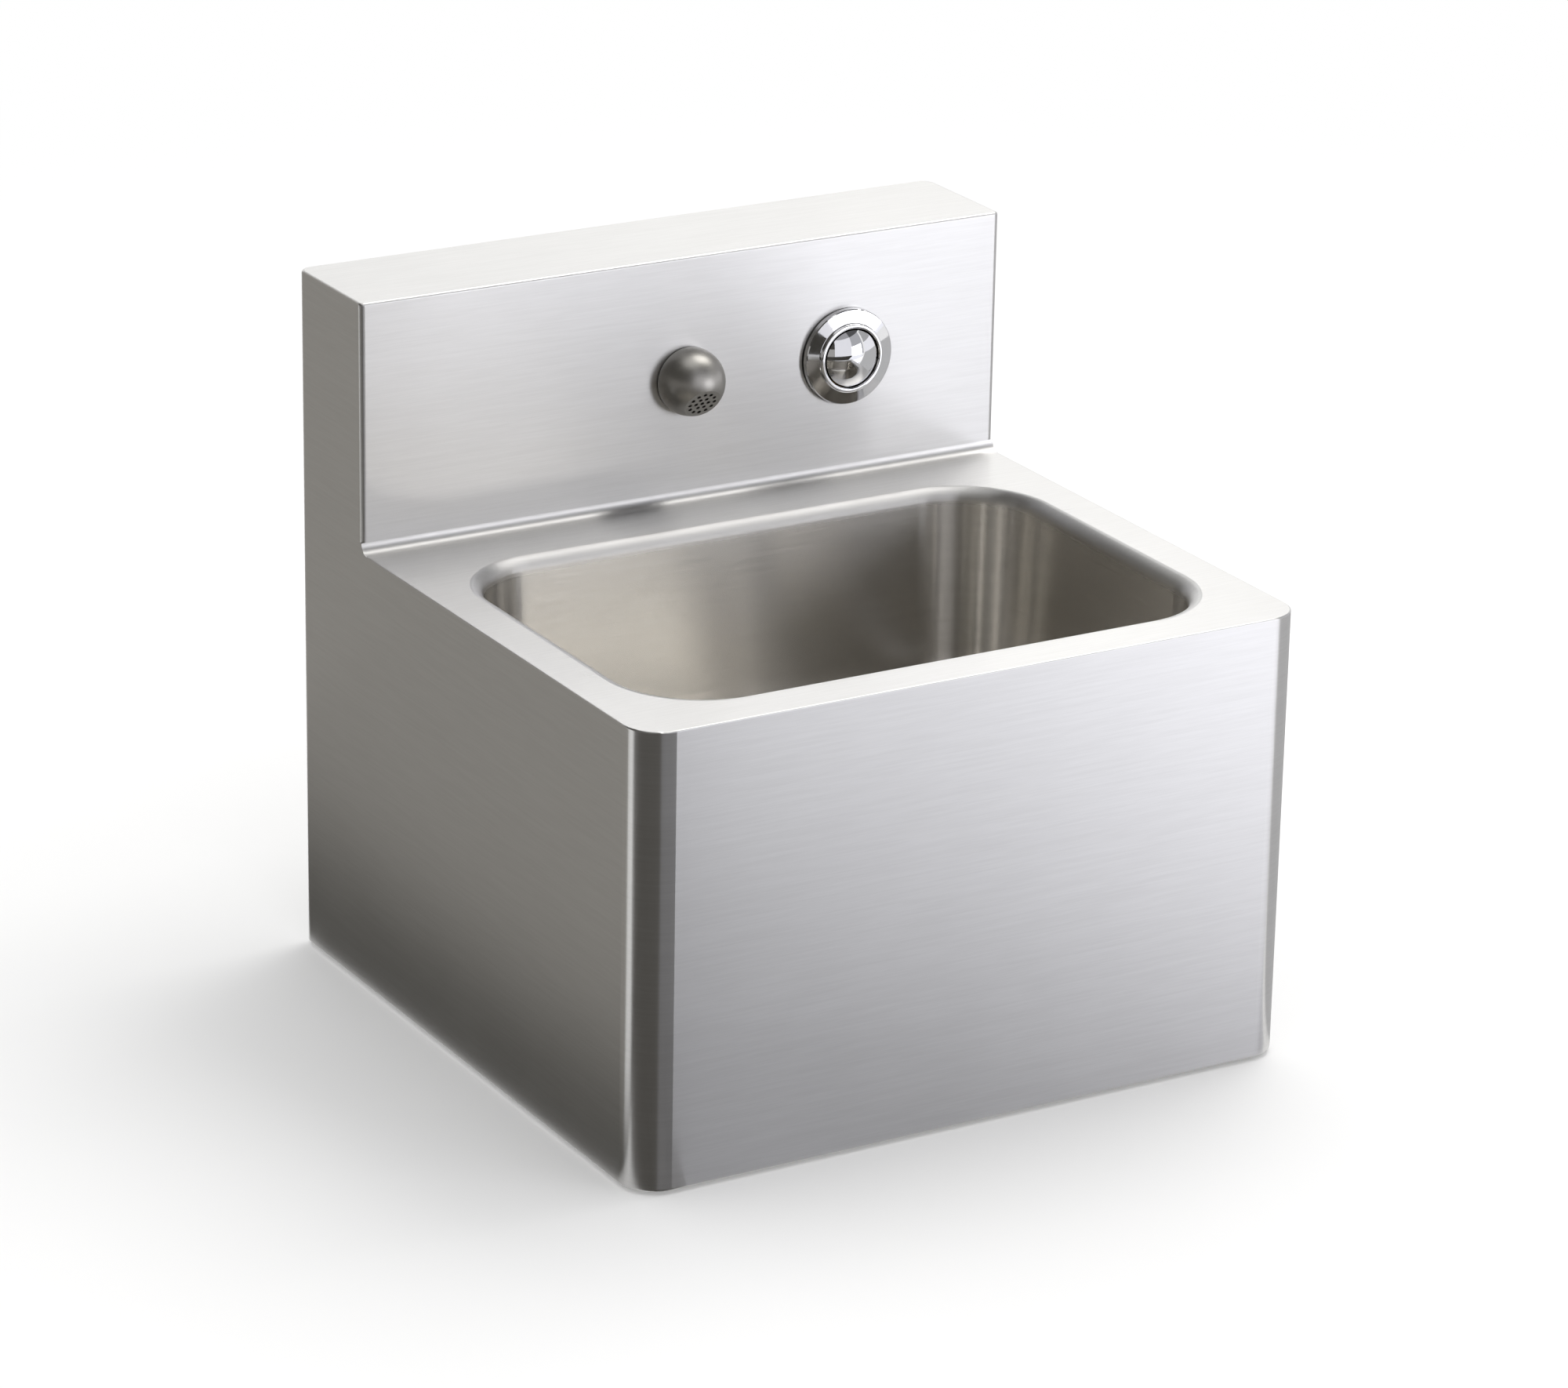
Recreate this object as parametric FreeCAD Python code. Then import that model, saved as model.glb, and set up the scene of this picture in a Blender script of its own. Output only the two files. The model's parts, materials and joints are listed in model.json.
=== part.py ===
import FreeCAD
import Part
import math
import os

# Wall-hung washbasin of brushed stainless sheet: a bowl let into a flat deck, an apron that wraps the front
# and sides, and a raised box behind the deck that carries a ball-shaped spray spout and a self-closing
# push-button valve. Millimetres, +X to the user's right, +Y into the wall, +Z up. The wall is the plane
# Y = 0 and the origin is the centre of the four wall fixing holes.

# Outer sizes of the sheet metal
WIDTH = 400.0
DEPTH = 390.0
HEIGHT = 392.0
UPSTAND_DEPTH = 77.0
SHEET = 1.5
FRONT_CORNER_R = 20.0
BACK_CORNER_R = 8.0
UPSTAND_EDGE_R = 3.0
TOP_EDGE_R = 1.5
DECK_EDGE_R = 0.8
BOTTOM_EDGE_R = 1.5
COVE_R = 6.0
RETURN_FLANGE = 30.0
BOTTOM_FLANGE = 16.0
HOOK_LIP = 25.0

# Bowl
SIDE_RIM = 23.0
FRONT_RIM = 25.0
BACK_LEDGE = 40.0
LIP_R = 7.0
BOWL_DEPTH = 130.0
BOWL_CORNER_R = 48.0
BOWL_LEAN = 5.0
BOWL_FLOOR_R = 38.0
BOWL_FLANGE = 6.0

# Wall fixings
FIXING_HOLE_D = 9.0
FIXING_INSET = 20.0
UPPER_FIXING_DROP = 52.0
LOWER_FIXING_HEIGHT = 36.0
RAIL_HEIGHT = 50.0
RAIL_T = 3.0
HANGER_T = 2.0
HANGER_END_GAP = 2.0
HANGER_FOOT = 15.0
HANGER_SHOULDER = 14.0
HANGER_STEP = 6.0
HOOK_PLAY = 0.5

# Access panel under the basin
PANEL_PLAY = 1.0
PANEL_CORNER_R = 6.0
TAB_LENGTH = 30.0
TAB_OVERLAP = 12.0
TAB_INSET = 60.0
SCREW_R = 2.5
SCREW_HEAD_R = 4.6
SCREW_HEAD_H = 2.2
SCREW_SHANK = 12.0
SCREW_SOCKET_AF = 3.0
SCREW_SOCKET_DEPTH = 1.3
SCREW_PIN_R = 0.55
CLINCH_NUT_R = 4.5
CLINCH_NUT_H = 4.0

# Sound-deadening pads under the bowl
PAD_T = 3.0
PAD_WIDTH = 69.6
PAD_LENGTH = 118.0
PAD_CORNER_R = 12.0
PAD_RELIEF = 4.0

# Waste fitting
WASTE_FLANGE_R = 35.0
WASTE_FLANGE_T = 2.2
WASTE_SEAT_SLOPE = 1.5
WASTE_THREAD_R = 20.95
WASTE_BORE_R = 17.5
WASTE_TAIL = 22.0
UPPER_SEAL_T = 0.8
LOWER_SEAL_T = 3.0
LOWER_SEAL_R = 30.0
BACKNUT_T = 6.0
BACKNUT_AF = 58.0
STRAINER_R = 30.0
STRAINER_T = 1.2
STRAINER_HOLE_R = 2.6
STRAINER_PITCH = 6.8
STRAINER_TURN = 30.0
RING_HOLES = 6
STRAINER_SCREW_R = 2.0
STRAINER_SCREW_HEAD_R = 4.0
STRAINER_SCREW_HEAD_H = 1.3
STRAINER_SLOT_WIDTH = 0.8
STRAINER_SLOT_DEPTH = 0.7
WASTE_BRIDGE_WIDTH = 9.0
WASTE_BRIDGE_DEPTH = 10.0

# Bottle trap
TRAP_R = 36.0
TRAP_WALL = 2.6
TRAP_COLLAR_T = 3.0
TRAP_NECK_WALL = 1.6
TRAP_NECK = 6.0
TRAP_CEILING = 3.0
TRAP_SKIRT = 6.0
TRAP_GROUND_GAP = 7.0
TRAP_CUP_LIFT = 30.0
TRAP_CUP_LAP = 10.0
TRAP_CUP_RIM = 3.0
TRAP_CUP_ROUND = 8.0
TRAP_CUP_FLUTE_R = 3.0
TRAP_CUP_FLUTE_DEPTH = 1.8
TRAP_CUP_FLUTES = 24
TRAP_SEAL_T = 2.0
INLET_NUT_AF = 52.0
INLET_NUT_GRIP = 9.0
INLET_NUT_LIP = 3.0
DIP_R = 16.0
DIP_WALL = 1.5
DIP_GAP = 14.0

# Waste outlet pipe to the wall
OUTLET_R = 16.0
OUTLET_WALL = 1.5
OUTLET_SETBACK = 2.0
OUTLET_SPIGOT = 40.0
OUTLET_BEAD = 3.0
OUTLET_BEAD_H = 1.2
OUTLET_SOCKET = 12.0
OUTLET_BOSS_R = 20.0
OUTLET_BOSS = 18.0
OUTLET_NUT_AF = 50.0
OUTLET_NUT_GRIP = 9.0
OUTLET_NUT_LIP = 4.0
OUTLET_SEAL_T = 4.0
OUTLET_NOTCH_PLAY = 4.0

# Spout
SPOUT_R = 19.2
SPOUT_STANDOFF = 4.0
SPOUT_GASKET_T = 0.6
SPOUT_GASKET_INSET = 0.9
FACET_TILT = 35.0
FACET_DISTANCE = 15.95
SPRAY_HOLE_R = 1.1
SPRAY_PITCH = 3.72
SPRAY_TURN = 3.5
SPRAY_WALL = 2.5
SPRAY_CHAMBER_R = 10.4
SHANK_R = 10.48
SHANK_BORE_R = 7.0
SHANK_ENTRY = 6.0
SHANK_LENGTH = 20.0
FLOW_DISC_T = 5.0
FLOW_DISC_HOLE_R = 0.9
FLOW_DISC_PITCH = 4.4
SPOUT_NUT_AF = 30.0
SPOUT_NUT_T = 7.0
WASHER_T = 1.5
WASHER_BAND = 6.0

# Link between the valve and the spout
LINK_SETBACK = 27.0
LINK_R = 6.0
LINK_WALL = 1.0
LINK_SOCKET = 8.0
LINK_BOSS_R = 9.0
LINK_BOSS = 14.0
LINK_NUT_AF = 24.0
LINK_NUT_LIP = 3.5
LINK_NUT_GRIP = 7.0
OLIVE_T = 4.0
OLIVE_BAND = 2.0
ELBOW_R = 14.0
ELBOW_WALL = 4.0

# Push-button valve
BUTTON_OFFSET = 101.0
BUTTON_R = 16.2
BUTTON_RISE = 5.0
BUTTON_EDGE = 7.3
BUTTON_SKIRT = 13.7
BUTTON_WALL = 1.6
BUTTON_TRAVEL = 6.0
BUTTON_BOSS_R = 8.0
STEM_R = 5.0
STEM_ENTRY = 4.0
VALVE_GASKET_T = 1.0
VALVE_GASKET_INSET = 1.5
FLANGE_R = 27.5
FLANGE_RIM = 3.5
FLANGE_CONE = 1.2
FLANGE_EDGE = 0.5
BEZEL_INNER_R = 17.1
BEZEL_H = 3.0
BEZEL_ROUND = 1.1
VALVE_TUBE_R = 20.0
VALVE_TUBE_LEAD = 5.0
VALVE_BORE_R = 17.2
VALVE_SKIRT_ROOM = 2.0
BULKHEAD_T = 5.0
VALVE_REAR_R = 18.5
CHAMBER_R = 14.0
PISTON_PORT_ROOM = 6.0
PISTON_T = 7.0
PISTON_PLAY = 0.3
SEAL_SECTION = 2.4
SPRING_LENGTH = 16.0
SPRING_R = 10.0
SPRING_WIRE = 1.3
SPRING_TURNS = 4
CAP_PLUG = 6.0
CAP_HEAD_T = 6.0
CAP_HEAD_AF = 34.0
CAP_SEAL_T = 1.0
VALVE_NUT_AF = 52.0
VALVE_NUT_T = 7.0
INLET_R = 10.48
INLET_BORE_R = 6.5
INLET_LENGTH = 14.0
INLET_SHOULDER_R = 13.0
INLET_SHOULDER = 2.0

# Clearances
THREAD_GAP = 0.06
SLIDE_GAP = 0.08
HOLE_GAP = 0.4
NUT_CHAMFER = 1.2
FILLET_MARGIN = 1.0
SAME = 1e-5

# Levels and planes worked out from the sizes above: the rim is as high as the bowl, waste and trap need
WASTE_DROP = UPPER_SEAL_T + WASTE_FLANGE_T + SHEET + WASTE_TAIL
TRAP_HEAD = TRAP_SEAL_T + TRAP_COLLAR_T + TRAP_NECK
TRAP_DROP = TRAP_HEAD + 2 * OUTLET_BOSS_R + TRAP_SKIRT + TRAP_CUP_LIFT
RIM_HEIGHT = BOWL_DEPTH + WASTE_DROP + TRAP_DROP + TRAP_GROUND_GAP + SHEET
BOTTOM_Z = -LOWER_FIXING_HEIGHT - (HEIGHT - UPPER_FIXING_DROP - LOWER_FIXING_HEIGHT) / 2.0
DECK_Z = BOTTOM_Z + RIM_HEIGHT
TOP_Z = BOTTOM_Z + HEIGHT
SIDE_X = WIDTH / 2.0
FLANGE_X = SIDE_X - RETURN_FLANGE
FRONT_Y = -DEPTH
FACE_Y = -UPSTAND_DEPTH
FACE_BACK_Y = FACE_Y + SHEET
COVE_Y = FACE_Y - COVE_R
COVE_Z = DECK_Z + COVE_R
SEAM_Y = FACE_Y + UPSTAND_EDGE_R
SEAM_Z = TOP_Z - TOP_EDGE_R
TAP_Z = (DECK_Z + TOP_Z) / 2.0
FIXING_X = FLANGE_X - FIXING_INSET
LOWER_FIXING_Z = BOTTOM_Z + LOWER_FIXING_HEIGHT
UPPER_FIXING_Z = TOP_Z - UPPER_FIXING_DROP
BOWL_X = SIDE_X - SIDE_RIM - LIP_R
BOWL_FRONT_Y = FRONT_Y + FRONT_RIM + LIP_R
BOWL_BACK_Y = FACE_Y - BACK_LEDGE - LIP_R
WASTE_Y = (BOWL_FRONT_Y + BOWL_BACK_Y) / 2.0
FLOOR_Z = DECK_Z - BOWL_DEPTH
SEAT_Z = FLOOR_Z - UPPER_SEAL_T - WASTE_FLANGE_T
UNDER_Z = SEAT_Z - SHEET
TAIL_Z = FLOOR_Z - WASTE_DROP
TRAP_COLLAR_Z = TAIL_Z - TRAP_SEAL_T
TRAP_TOP_Z = TAIL_Z - TRAP_HEAD
TRAP_BOTTOM_Z = TAIL_Z - TRAP_DROP
CUP_RIM_Z = TRAP_BOTTOM_Z + TRAP_CUP_LIFT
OUTLET_Z = TRAP_TOP_Z - OUTLET_BOSS_R
LINK_Y = FACE_BACK_Y + LINK_SETBACK

X_AXIS = FreeCAD.Vector(1, 0, 0)
Y_AXIS = FreeCAD.Vector(0, 1, 0)
Z_AXIS = FreeCAD.Vector(0, 0, 1)
FAR = WIDTH + DEPTH + HEIGHT


def at(x, y, z):
    return FreeCAD.Vector(x, y, z)


def block(x0, x1, y0, y1, z0, z1):
    return Part.makeBox(x1 - x0, y1 - y0, z1 - z0, at(x0, y0, z0))


def rod(radius, start, end):
    return Part.makeCylinder(radius, (end - start).Length, start, end - start)


def ring(outer, inner, start, end):
    return rod(outer, start, end).cut(rod(inner, start, end))


def lathe(profile, origin, axis):
    """Solid of revolution from (radius, distance along the axis) points."""
    radial = X_AXIS if abs(axis.z) > 0.5 else Z_AXIS
    points = [origin + axis * along + radial * radius for radius, along in profile]
    return Part.Face(Part.makePolygon(points + points[:1])).revolve(origin, axis, 360)


def hex_bar(across_flats, start, end):
    """Hexagon bar between two points, with its corners turned off at both ends."""
    axis = (end - start).normalize()
    length = (end - start).Length
    corner = across_flats / math.sqrt(3.0)
    first = X_AXIS if abs(axis.z) > 0.5 else Z_AXIS
    second = axis.cross(first)
    angles = [math.radians(60 * k) for k in range(6)]
    points = [start + first * corner * math.cos(a) + second * corner * math.sin(a) for a in angles]
    bar = Part.Face(Part.makePolygon(points + points[:1])).extrude(axis * length)
    small = corner - NUT_CHAMFER
    slope = NUT_CHAMFER / 2.0
    turned = [(0, 0), (small, 0), (corner, slope), (corner, length - slope), (small, length), (0, length)]
    return bar.common(lathe(turned, start, axis))


def outline(x0, x1, y0, y1, front_r, back_r, z):
    """Closed wire round a rectangle in plan, with rounded front and back corners."""
    corners = [(x0, y0, front_r, 180), (x1, y0, front_r, 270), (x1, y1, back_r, 0), (x0, y1, back_r, 90)]
    edges = []
    ends = []
    for x, y, radius, turn in corners:
        centre = at(x + (radius if x == x0 else -radius), y + (radius if y == y0 else -radius), z)
        spots = []
        for step in (0, 45, 90):
            angle = math.radians(turn + step)
            spots.append(centre + at(math.cos(angle), math.sin(angle), 0) * radius)
        edges.append(Part.Arc(*spots).toShape())
        ends.append((spots[0], spots[2]))
    closed = []
    for k, arc in enumerate(edges):
        closed.append(arc)
        closed.append(Part.LineSegment(ends[k][1], ends[(k + 1) % len(ends)][0]).toShape())
    return Part.Wire(closed)


def slab(wire, height):
    return Part.Face(wire).extrude(at(0, 0, height))


def edges_at(shape, z):
    """Edges of a shape that lie in one level plane."""
    return [e for e in shape.Edges if abs(e.BoundBox.ZMin - z) < SAME and abs(e.BoundBox.ZMax - z) < SAME]


def group(shapes):
    return Part.makeCompound(shapes)


def cap_radius(edge_r, rise):
    """Radius of the sphere whose cap has this edge radius and height."""
    return (edge_r ** 2 + rise ** 2) / (2.0 * rise)


def ring_angles(turn, start_deg):
    """Directions of the holes in the first or second ring round a centre hole."""
    count = RING_HOLES * turn
    return [math.radians(start_deg) + 2.0 * math.pi * k / count for k in range(count)]


def bowl_solid(grow):
    """The bowl's hollow, from the deck down to its floor, grown outwards by a sheet thickness."""
    top = outline(-BOWL_X - grow, BOWL_X + grow, BOWL_FRONT_Y - grow, BOWL_BACK_Y + grow,
                  BOWL_CORNER_R + grow, BOWL_CORNER_R + grow, DECK_Z)
    inset = BOWL_LEAN - grow
    low_r = BOWL_CORNER_R - inset
    low = outline(-BOWL_X + inset, BOWL_X - inset, BOWL_FRONT_Y + inset, BOWL_BACK_Y - inset,
                  low_r, low_r, FLOOR_Z - grow)
    hollow = Part.makeLoft([top, low], True, True)
    floor_r = min(BOWL_FLOOR_R + grow, low_r - FILLET_MARGIN)
    hollow = hollow.makeFillet(floor_r, edges_at(hollow, FLOOR_Z - grow))
    seat_r = WASTE_FLANGE_R + HOLE_GAP + grow
    seat = [(0, SEAT_Z - grow), (seat_r, SEAT_Z - grow), (seat_r + WASTE_SEAT_SLOPE, FLOOR_Z - grow),
            (seat_r + WASTE_SEAT_SLOPE, FLOOR_Z), (0, FLOOR_Z)]
    return hollow.fuse(lathe(seat, at(0, WASTE_Y, 0), Z_AXIS)).removeSplitter()


def under_deck(level, grow):
    """Everything below the deck's upper or lower face, with the bowl sunk into it and its lip rolled."""
    wire = outline(-SIDE_X, SIDE_X, FRONT_Y, 0.0, FRONT_CORNER_R, BACK_CORNER_R, BOTTOM_Z)
    mass = slab(wire, level - BOTTOM_Z).cut(block(-FAR, FAR, COVE_Y, FAR, -FAR, FAR))
    rim = [e for e in edges_at(mass, level) if e.BoundBox.YMin < COVE_Y - SAME]
    if grow == 0:
        mass = mass.makeFillet(DECK_EDGE_R, rim)
    mass = mass.cut(bowl_solid(grow))
    lip = [e for e in edges_at(mass, level) if e.BoundBox.YMin > FRONT_Y + FRONT_RIM
           and e.BoundBox.YMax < COVE_Y - LIP_R and abs(e.BoundBox.Center.x) < SIDE_X - SIDE_RIM]
    return mass.makeFillet(LIP_R - grow, lip)


def deck_sheet():
    """Deck and bowl together, before the weld line between them is drawn."""
    return under_deck(DECK_Z, 0).cut(under_deck(DECK_Z - SHEET, SHEET))


def inside_weld():
    """Everything inside the weld line that runs round the bowl's flat flange."""
    reach = LIP_R + BOWL_FLANGE
    wire = outline(-BOWL_X - reach, BOWL_X + reach, BOWL_FRONT_Y - reach, BOWL_BACK_Y + reach,
                   BOWL_CORNER_R + reach, BOWL_CORNER_R + reach, BOTTOM_Z)
    return slab(wire, HEIGHT)


def deck_plate():
    """Flat rim with an opening for the bowl's flange."""
    return deck_sheet().cut(inside_weld())


def bowl():
    """Pressed bowl with a rolled lip, a narrow flat flange and a seat for the waste."""
    hole = rod(WASTE_THREAD_R + HOLE_GAP, at(0, WASTE_Y, BOTTOM_Z), at(0, WASTE_Y, DECK_Z))
    return deck_sheet().common(inside_weld()).cut(hole)


def apron():
    """Front and sides in one wrap, with return flanges at the wall and round the bottom."""
    outer = slab(outline(-SIDE_X, SIDE_X, FRONT_Y, 0.0, FRONT_CORNER_R, BACK_CORNER_R, BOTTOM_Z),
                 SEAM_Z - BOTTOM_Z)
    outer = outer.makeFillet(BOTTOM_EDGE_R, edges_at(outer, BOTTOM_Z))
    inner = slab(outline(-SIDE_X + SHEET, SIDE_X - SHEET, FRONT_Y + SHEET, -SHEET,
                         FRONT_CORNER_R - SHEET, BACK_CORNER_R - SHEET, BOTTOM_Z + SHEET), HEIGHT)
    wrap = outer.cut(inner)
    wrap = wrap.cut(block(-FAR, FAR, -FAR, COVE_Y, DECK_Z - SHEET, FAR))
    wrap = wrap.cut(rod(COVE_R + SHEET, at(-FAR, COVE_Y, COVE_Z), at(FAR, COVE_Y, COVE_Z)))
    wrap = wrap.cut(block(-FAR, FAR, COVE_Y, SEAM_Y, COVE_Z, FAR))
    wrap = wrap.cut(block(-FLANGE_X, FLANGE_X, -2 * SHEET, SHEET, BOTTOM_Z + SHEET, FAR))
    return wrap.cut(bottom_opening(0.0))


def bottom_opening(play):
    """The rectangle that the access panel fills, drawn in by the play round the panel."""
    inset = BOTTOM_FLANGE + play
    wire = outline(-SIDE_X + inset, SIDE_X - inset, FRONT_Y + inset, -inset,
                   PANEL_CORNER_R, PANEL_CORNER_R, BOTTOM_Z)
    return slab(wire, SHEET)


def upstand_cover():
    """Front, top and hooked rear lip of the raised box, with a cove down to the deck."""
    outer = slab(outline(-SIDE_X, SIDE_X, FACE_Y, 0.0, UPSTAND_EDGE_R, BACK_CORNER_R, COVE_Z),
                 TOP_Z - COVE_Z)
    outer = outer.makeFillet(TOP_EDGE_R, edges_at(outer, TOP_Z))
    inner = slab(outline(-SIDE_X + SHEET, SIDE_X - SHEET, FACE_BACK_Y, -SHEET,
                         UPSTAND_EDGE_R - SHEET, BACK_CORNER_R - SHEET, COVE_Z), TOP_Z - SHEET - COVE_Z)
    cover = outer.cut(inner)
    cover = cover.cut(block(-FAR, -FLANGE_X, SEAM_Y, FAR, -FAR, SEAM_Z))
    cover = cover.cut(block(FLANGE_X, FAR, SEAM_Y, FAR, -FAR, SEAM_Z))
    cover = cover.cut(block(-FAR, FAR, -2 * SHEET, FAR, -FAR, TOP_Z - HOOK_LIP))
    cove = ring(COVE_R + SHEET, COVE_R, at(-SIDE_X, COVE_Y, COVE_Z), at(SIDE_X, COVE_Y, COVE_Z))
    cove = cove.common(block(-FAR, FAR, COVE_Y, FAR, -FAR, COVE_Z))
    cover = cover.fuse(cove).removeSplitter()
    for x, radius in ((0.0, SHANK_R), (BUTTON_OFFSET, VALVE_TUBE_R)):
        cover = cover.cut(rod(radius + HOLE_GAP, at(x, FACE_Y - SHEET, TAP_Z), at(x, LINK_Y, TAP_Z)))
    return cover


def fixing_holes(z):
    return [rod(FIXING_HOLE_D / 2.0, at(side * FIXING_X, -FAR, z), at(side * FIXING_X, FAR, z))
            for side in (-1, 1)]


def wall_hanger():
    """Joggled strip on the wall, whose tongue stands inside the upstand's rear lip."""
    out = SHEET + HOOK_PLAY
    foot = UPPER_FIXING_Z - HANGER_FOOT
    shoulder = UPPER_FIXING_Z + HANGER_SHOULDER
    crown = TOP_Z - SHEET
    knee = shoulder + HANGER_STEP
    side = [(0, foot), (0, shoulder), (-out, knee), (-out, crown), (-out - HANGER_T, crown),
            (-out - HANGER_T, knee), (-HANGER_T, shoulder), (-HANGER_T, foot)]
    half = FLANGE_X - HANGER_END_GAP
    points = [at(-half, y, z) for y, z in side]
    strip = Part.Face(Part.makePolygon(points + points[:1])).extrude(at(2 * half, 0, 0))
    return strip.cut(group(fixing_holes(UPPER_FIXING_Z)))


def fixing_rail():
    """Plate between the return flanges, notched for the outlet pipe."""
    low = LOWER_FIXING_Z - RAIL_HEIGHT / 2.0
    rail = block(-FLANGE_X, FLANGE_X, -RAIL_T, 0.0, low, low + RAIL_HEIGHT)
    notch_r = OUTLET_R + OUTLET_NOTCH_PLAY
    rail = rail.cut(rod(notch_r, at(0, -FAR, OUTLET_Z), at(0, FAR, OUTLET_Z)))
    rail = rail.cut(block(-notch_r, notch_r, -FAR, FAR, OUTLET_Z, FAR))
    return rail.cut(group(fixing_holes(LOWER_FIXING_Z)))


def panel_fixings():
    """Centre and outward direction in plan of each access panel screw."""
    edge = BOTTOM_FLANGE + PANEL_PLAY + TAB_OVERLAP / 2.0
    spots = []
    for side in (-1, 1):
        for y in (FRONT_Y + TAB_INSET, -TAB_INSET):
            spots.append((side * (SIDE_X - edge), y, side))
    return spots


def access_panel():
    plate = bottom_opening(PANEL_PLAY)
    for x, y, _ in panel_fixings():
        plate = plate.cut(rod(SCREW_R + HOLE_GAP, at(x, y, -FAR), at(x, y, FAR)))
    return plate


def panel_tabs():
    tabs = []
    low = BOTTOM_Z + SHEET
    for x, y, side in panel_fixings():
        inner = x - side * TAB_OVERLAP / 2.0
        outer = x + side * (TAB_OVERLAP + PANEL_PLAY)
        tab = block(min(inner, outer), max(inner, outer), y - TAB_LENGTH / 2.0, y + TAB_LENGTH / 2.0,
                    low, low + SHEET)
        tabs.append(tab.cut(rod(SCREW_R + HOLE_GAP, at(x, y, -FAR), at(x, y, FAR))))
    return group(tabs)


def panel_nuts():
    low = BOTTOM_Z + 2 * SHEET
    return group([ring(CLINCH_NUT_R, SCREW_R + THREAD_GAP, at(x, y, low), at(x, y, low + CLINCH_NUT_H))
                  for x, y, _ in panel_fixings()])


def panel_screws():
    """Domed tamper-resistant screws with a pin in the socket."""
    screws = []
    dome_r = cap_radius(SCREW_HEAD_R, SCREW_HEAD_H)
    for x, y, _ in panel_fixings():
        seat = at(x, y, BOTTOM_Z)
        crown = seat - Z_AXIS * SCREW_HEAD_H
        head = Part.makeSphere(dome_r, crown + Z_AXIS * dome_r).common(rod(SCREW_HEAD_R, crown, seat))
        socket = hex_bar(SCREW_SOCKET_AF, crown - Z_AXIS * NUT_CHAMFER, crown + Z_AXIS * SCREW_SOCKET_DEPTH)
        socket = socket.cut(rod(SCREW_PIN_R, crown, crown + Z_AXIS * SCREW_SOCKET_DEPTH))
        screws.append(head.cut(socket).fuse(rod(SCREW_R, seat, seat + Z_AXIS * SCREW_SHANK)))
    return group(screws)


def sound_pads():
    """Two pads stuck under the bowl's floor, one each side of the waste."""
    near = WASTE_FLANGE_R + HOLE_GAP + SHEET + WASTE_SEAT_SLOPE + PAD_RELIEF
    far = near + PAD_WIDTH
    front = WASTE_Y - PAD_LENGTH / 2.0
    back = WASTE_Y + PAD_LENGTH / 2.0
    low = FLOOR_Z - SHEET - PAD_T
    pads = []
    for left, right in ((-far, -near), (near, far)):
        wire = outline(left, right, front, back, PAD_CORNER_R, PAD_CORNER_R, low)
        pads.append(slab(wire, PAD_T))
    return group(pads)


def waste_axis(z):
    return at(0, WASTE_Y, z)


def waste_body():
    """Flanged tail with a bridge across its bore for the strainer's screw."""
    top = SEAT_Z + UPPER_SEAL_T
    face = top + WASTE_FLANGE_T
    body = rod(WASTE_FLANGE_R, waste_axis(top), waste_axis(face))
    body = body.fuse(rod(WASTE_THREAD_R, waste_axis(TAIL_Z), waste_axis(top)))
    body = body.cut(rod(STRAINER_R + HOLE_GAP, waste_axis(face - STRAINER_T), waste_axis(face)))
    body = body.cut(rod(WASTE_BORE_R, waste_axis(TAIL_Z), waste_axis(face)))
    half = WASTE_BRIDGE_WIDTH / 2.0
    seat = face - STRAINER_T
    foot = seat - WASTE_BRIDGE_DEPTH
    bridge = block(-FAR, FAR, WASTE_Y - half, WASTE_Y + half, foot, seat)
    bridge = bridge.common(rod(WASTE_BORE_R, waste_axis(TAIL_Z), waste_axis(face)))
    body = body.fuse(bridge)
    return body.cut(rod(STRAINER_SCREW_R + THREAD_GAP, waste_axis(foot), waste_axis(face)))


def strainer_plate():
    """Perforated disc with two rings of holes round its screw."""
    face = SEAT_Z + UPPER_SEAL_T + WASTE_FLANGE_T
    plate = rod(STRAINER_R, waste_axis(face - STRAINER_T), waste_axis(face))
    holes = [rod(STRAINER_SCREW_R + THREAD_GAP, waste_axis(-FAR), waste_axis(FAR))]
    for turn in (1, 2):
        for angle in ring_angles(turn, STRAINER_TURN):
            spot = at(math.cos(angle), math.sin(angle), 0) * STRAINER_PITCH * turn
            holes.append(rod(STRAINER_HOLE_R, waste_axis(-FAR) + spot, waste_axis(FAR) + spot))
    return plate.cut(group(holes))


def strainer_screw():
    face = SEAT_Z + UPPER_SEAL_T + WASTE_FLANGE_T
    crown = face + STRAINER_SCREW_HEAD_H
    dome_r = cap_radius(STRAINER_SCREW_HEAD_R, STRAINER_SCREW_HEAD_H)
    head = Part.makeSphere(dome_r, waste_axis(crown - dome_r))
    head = head.common(rod(STRAINER_SCREW_HEAD_R, waste_axis(face), waste_axis(crown)))
    half = STRAINER_SLOT_WIDTH / 2.0
    slot = block(-FAR, FAR, WASTE_Y - half, WASTE_Y + half, crown - STRAINER_SLOT_DEPTH, FAR)
    shank = rod(STRAINER_SCREW_R, waste_axis(face - STRAINER_T - WASTE_BRIDGE_DEPTH), waste_axis(face))
    return head.cut(slot).fuse(shank)


def waste_seal_upper():
    return ring(WASTE_FLANGE_R, WASTE_THREAD_R + HOLE_GAP, waste_axis(SEAT_Z),
                waste_axis(SEAT_Z + UPPER_SEAL_T))


def waste_seal_lower():
    return ring(LOWER_SEAL_R, WASTE_THREAD_R + HOLE_GAP, waste_axis(UNDER_Z - LOWER_SEAL_T),
                waste_axis(UNDER_Z))


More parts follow.
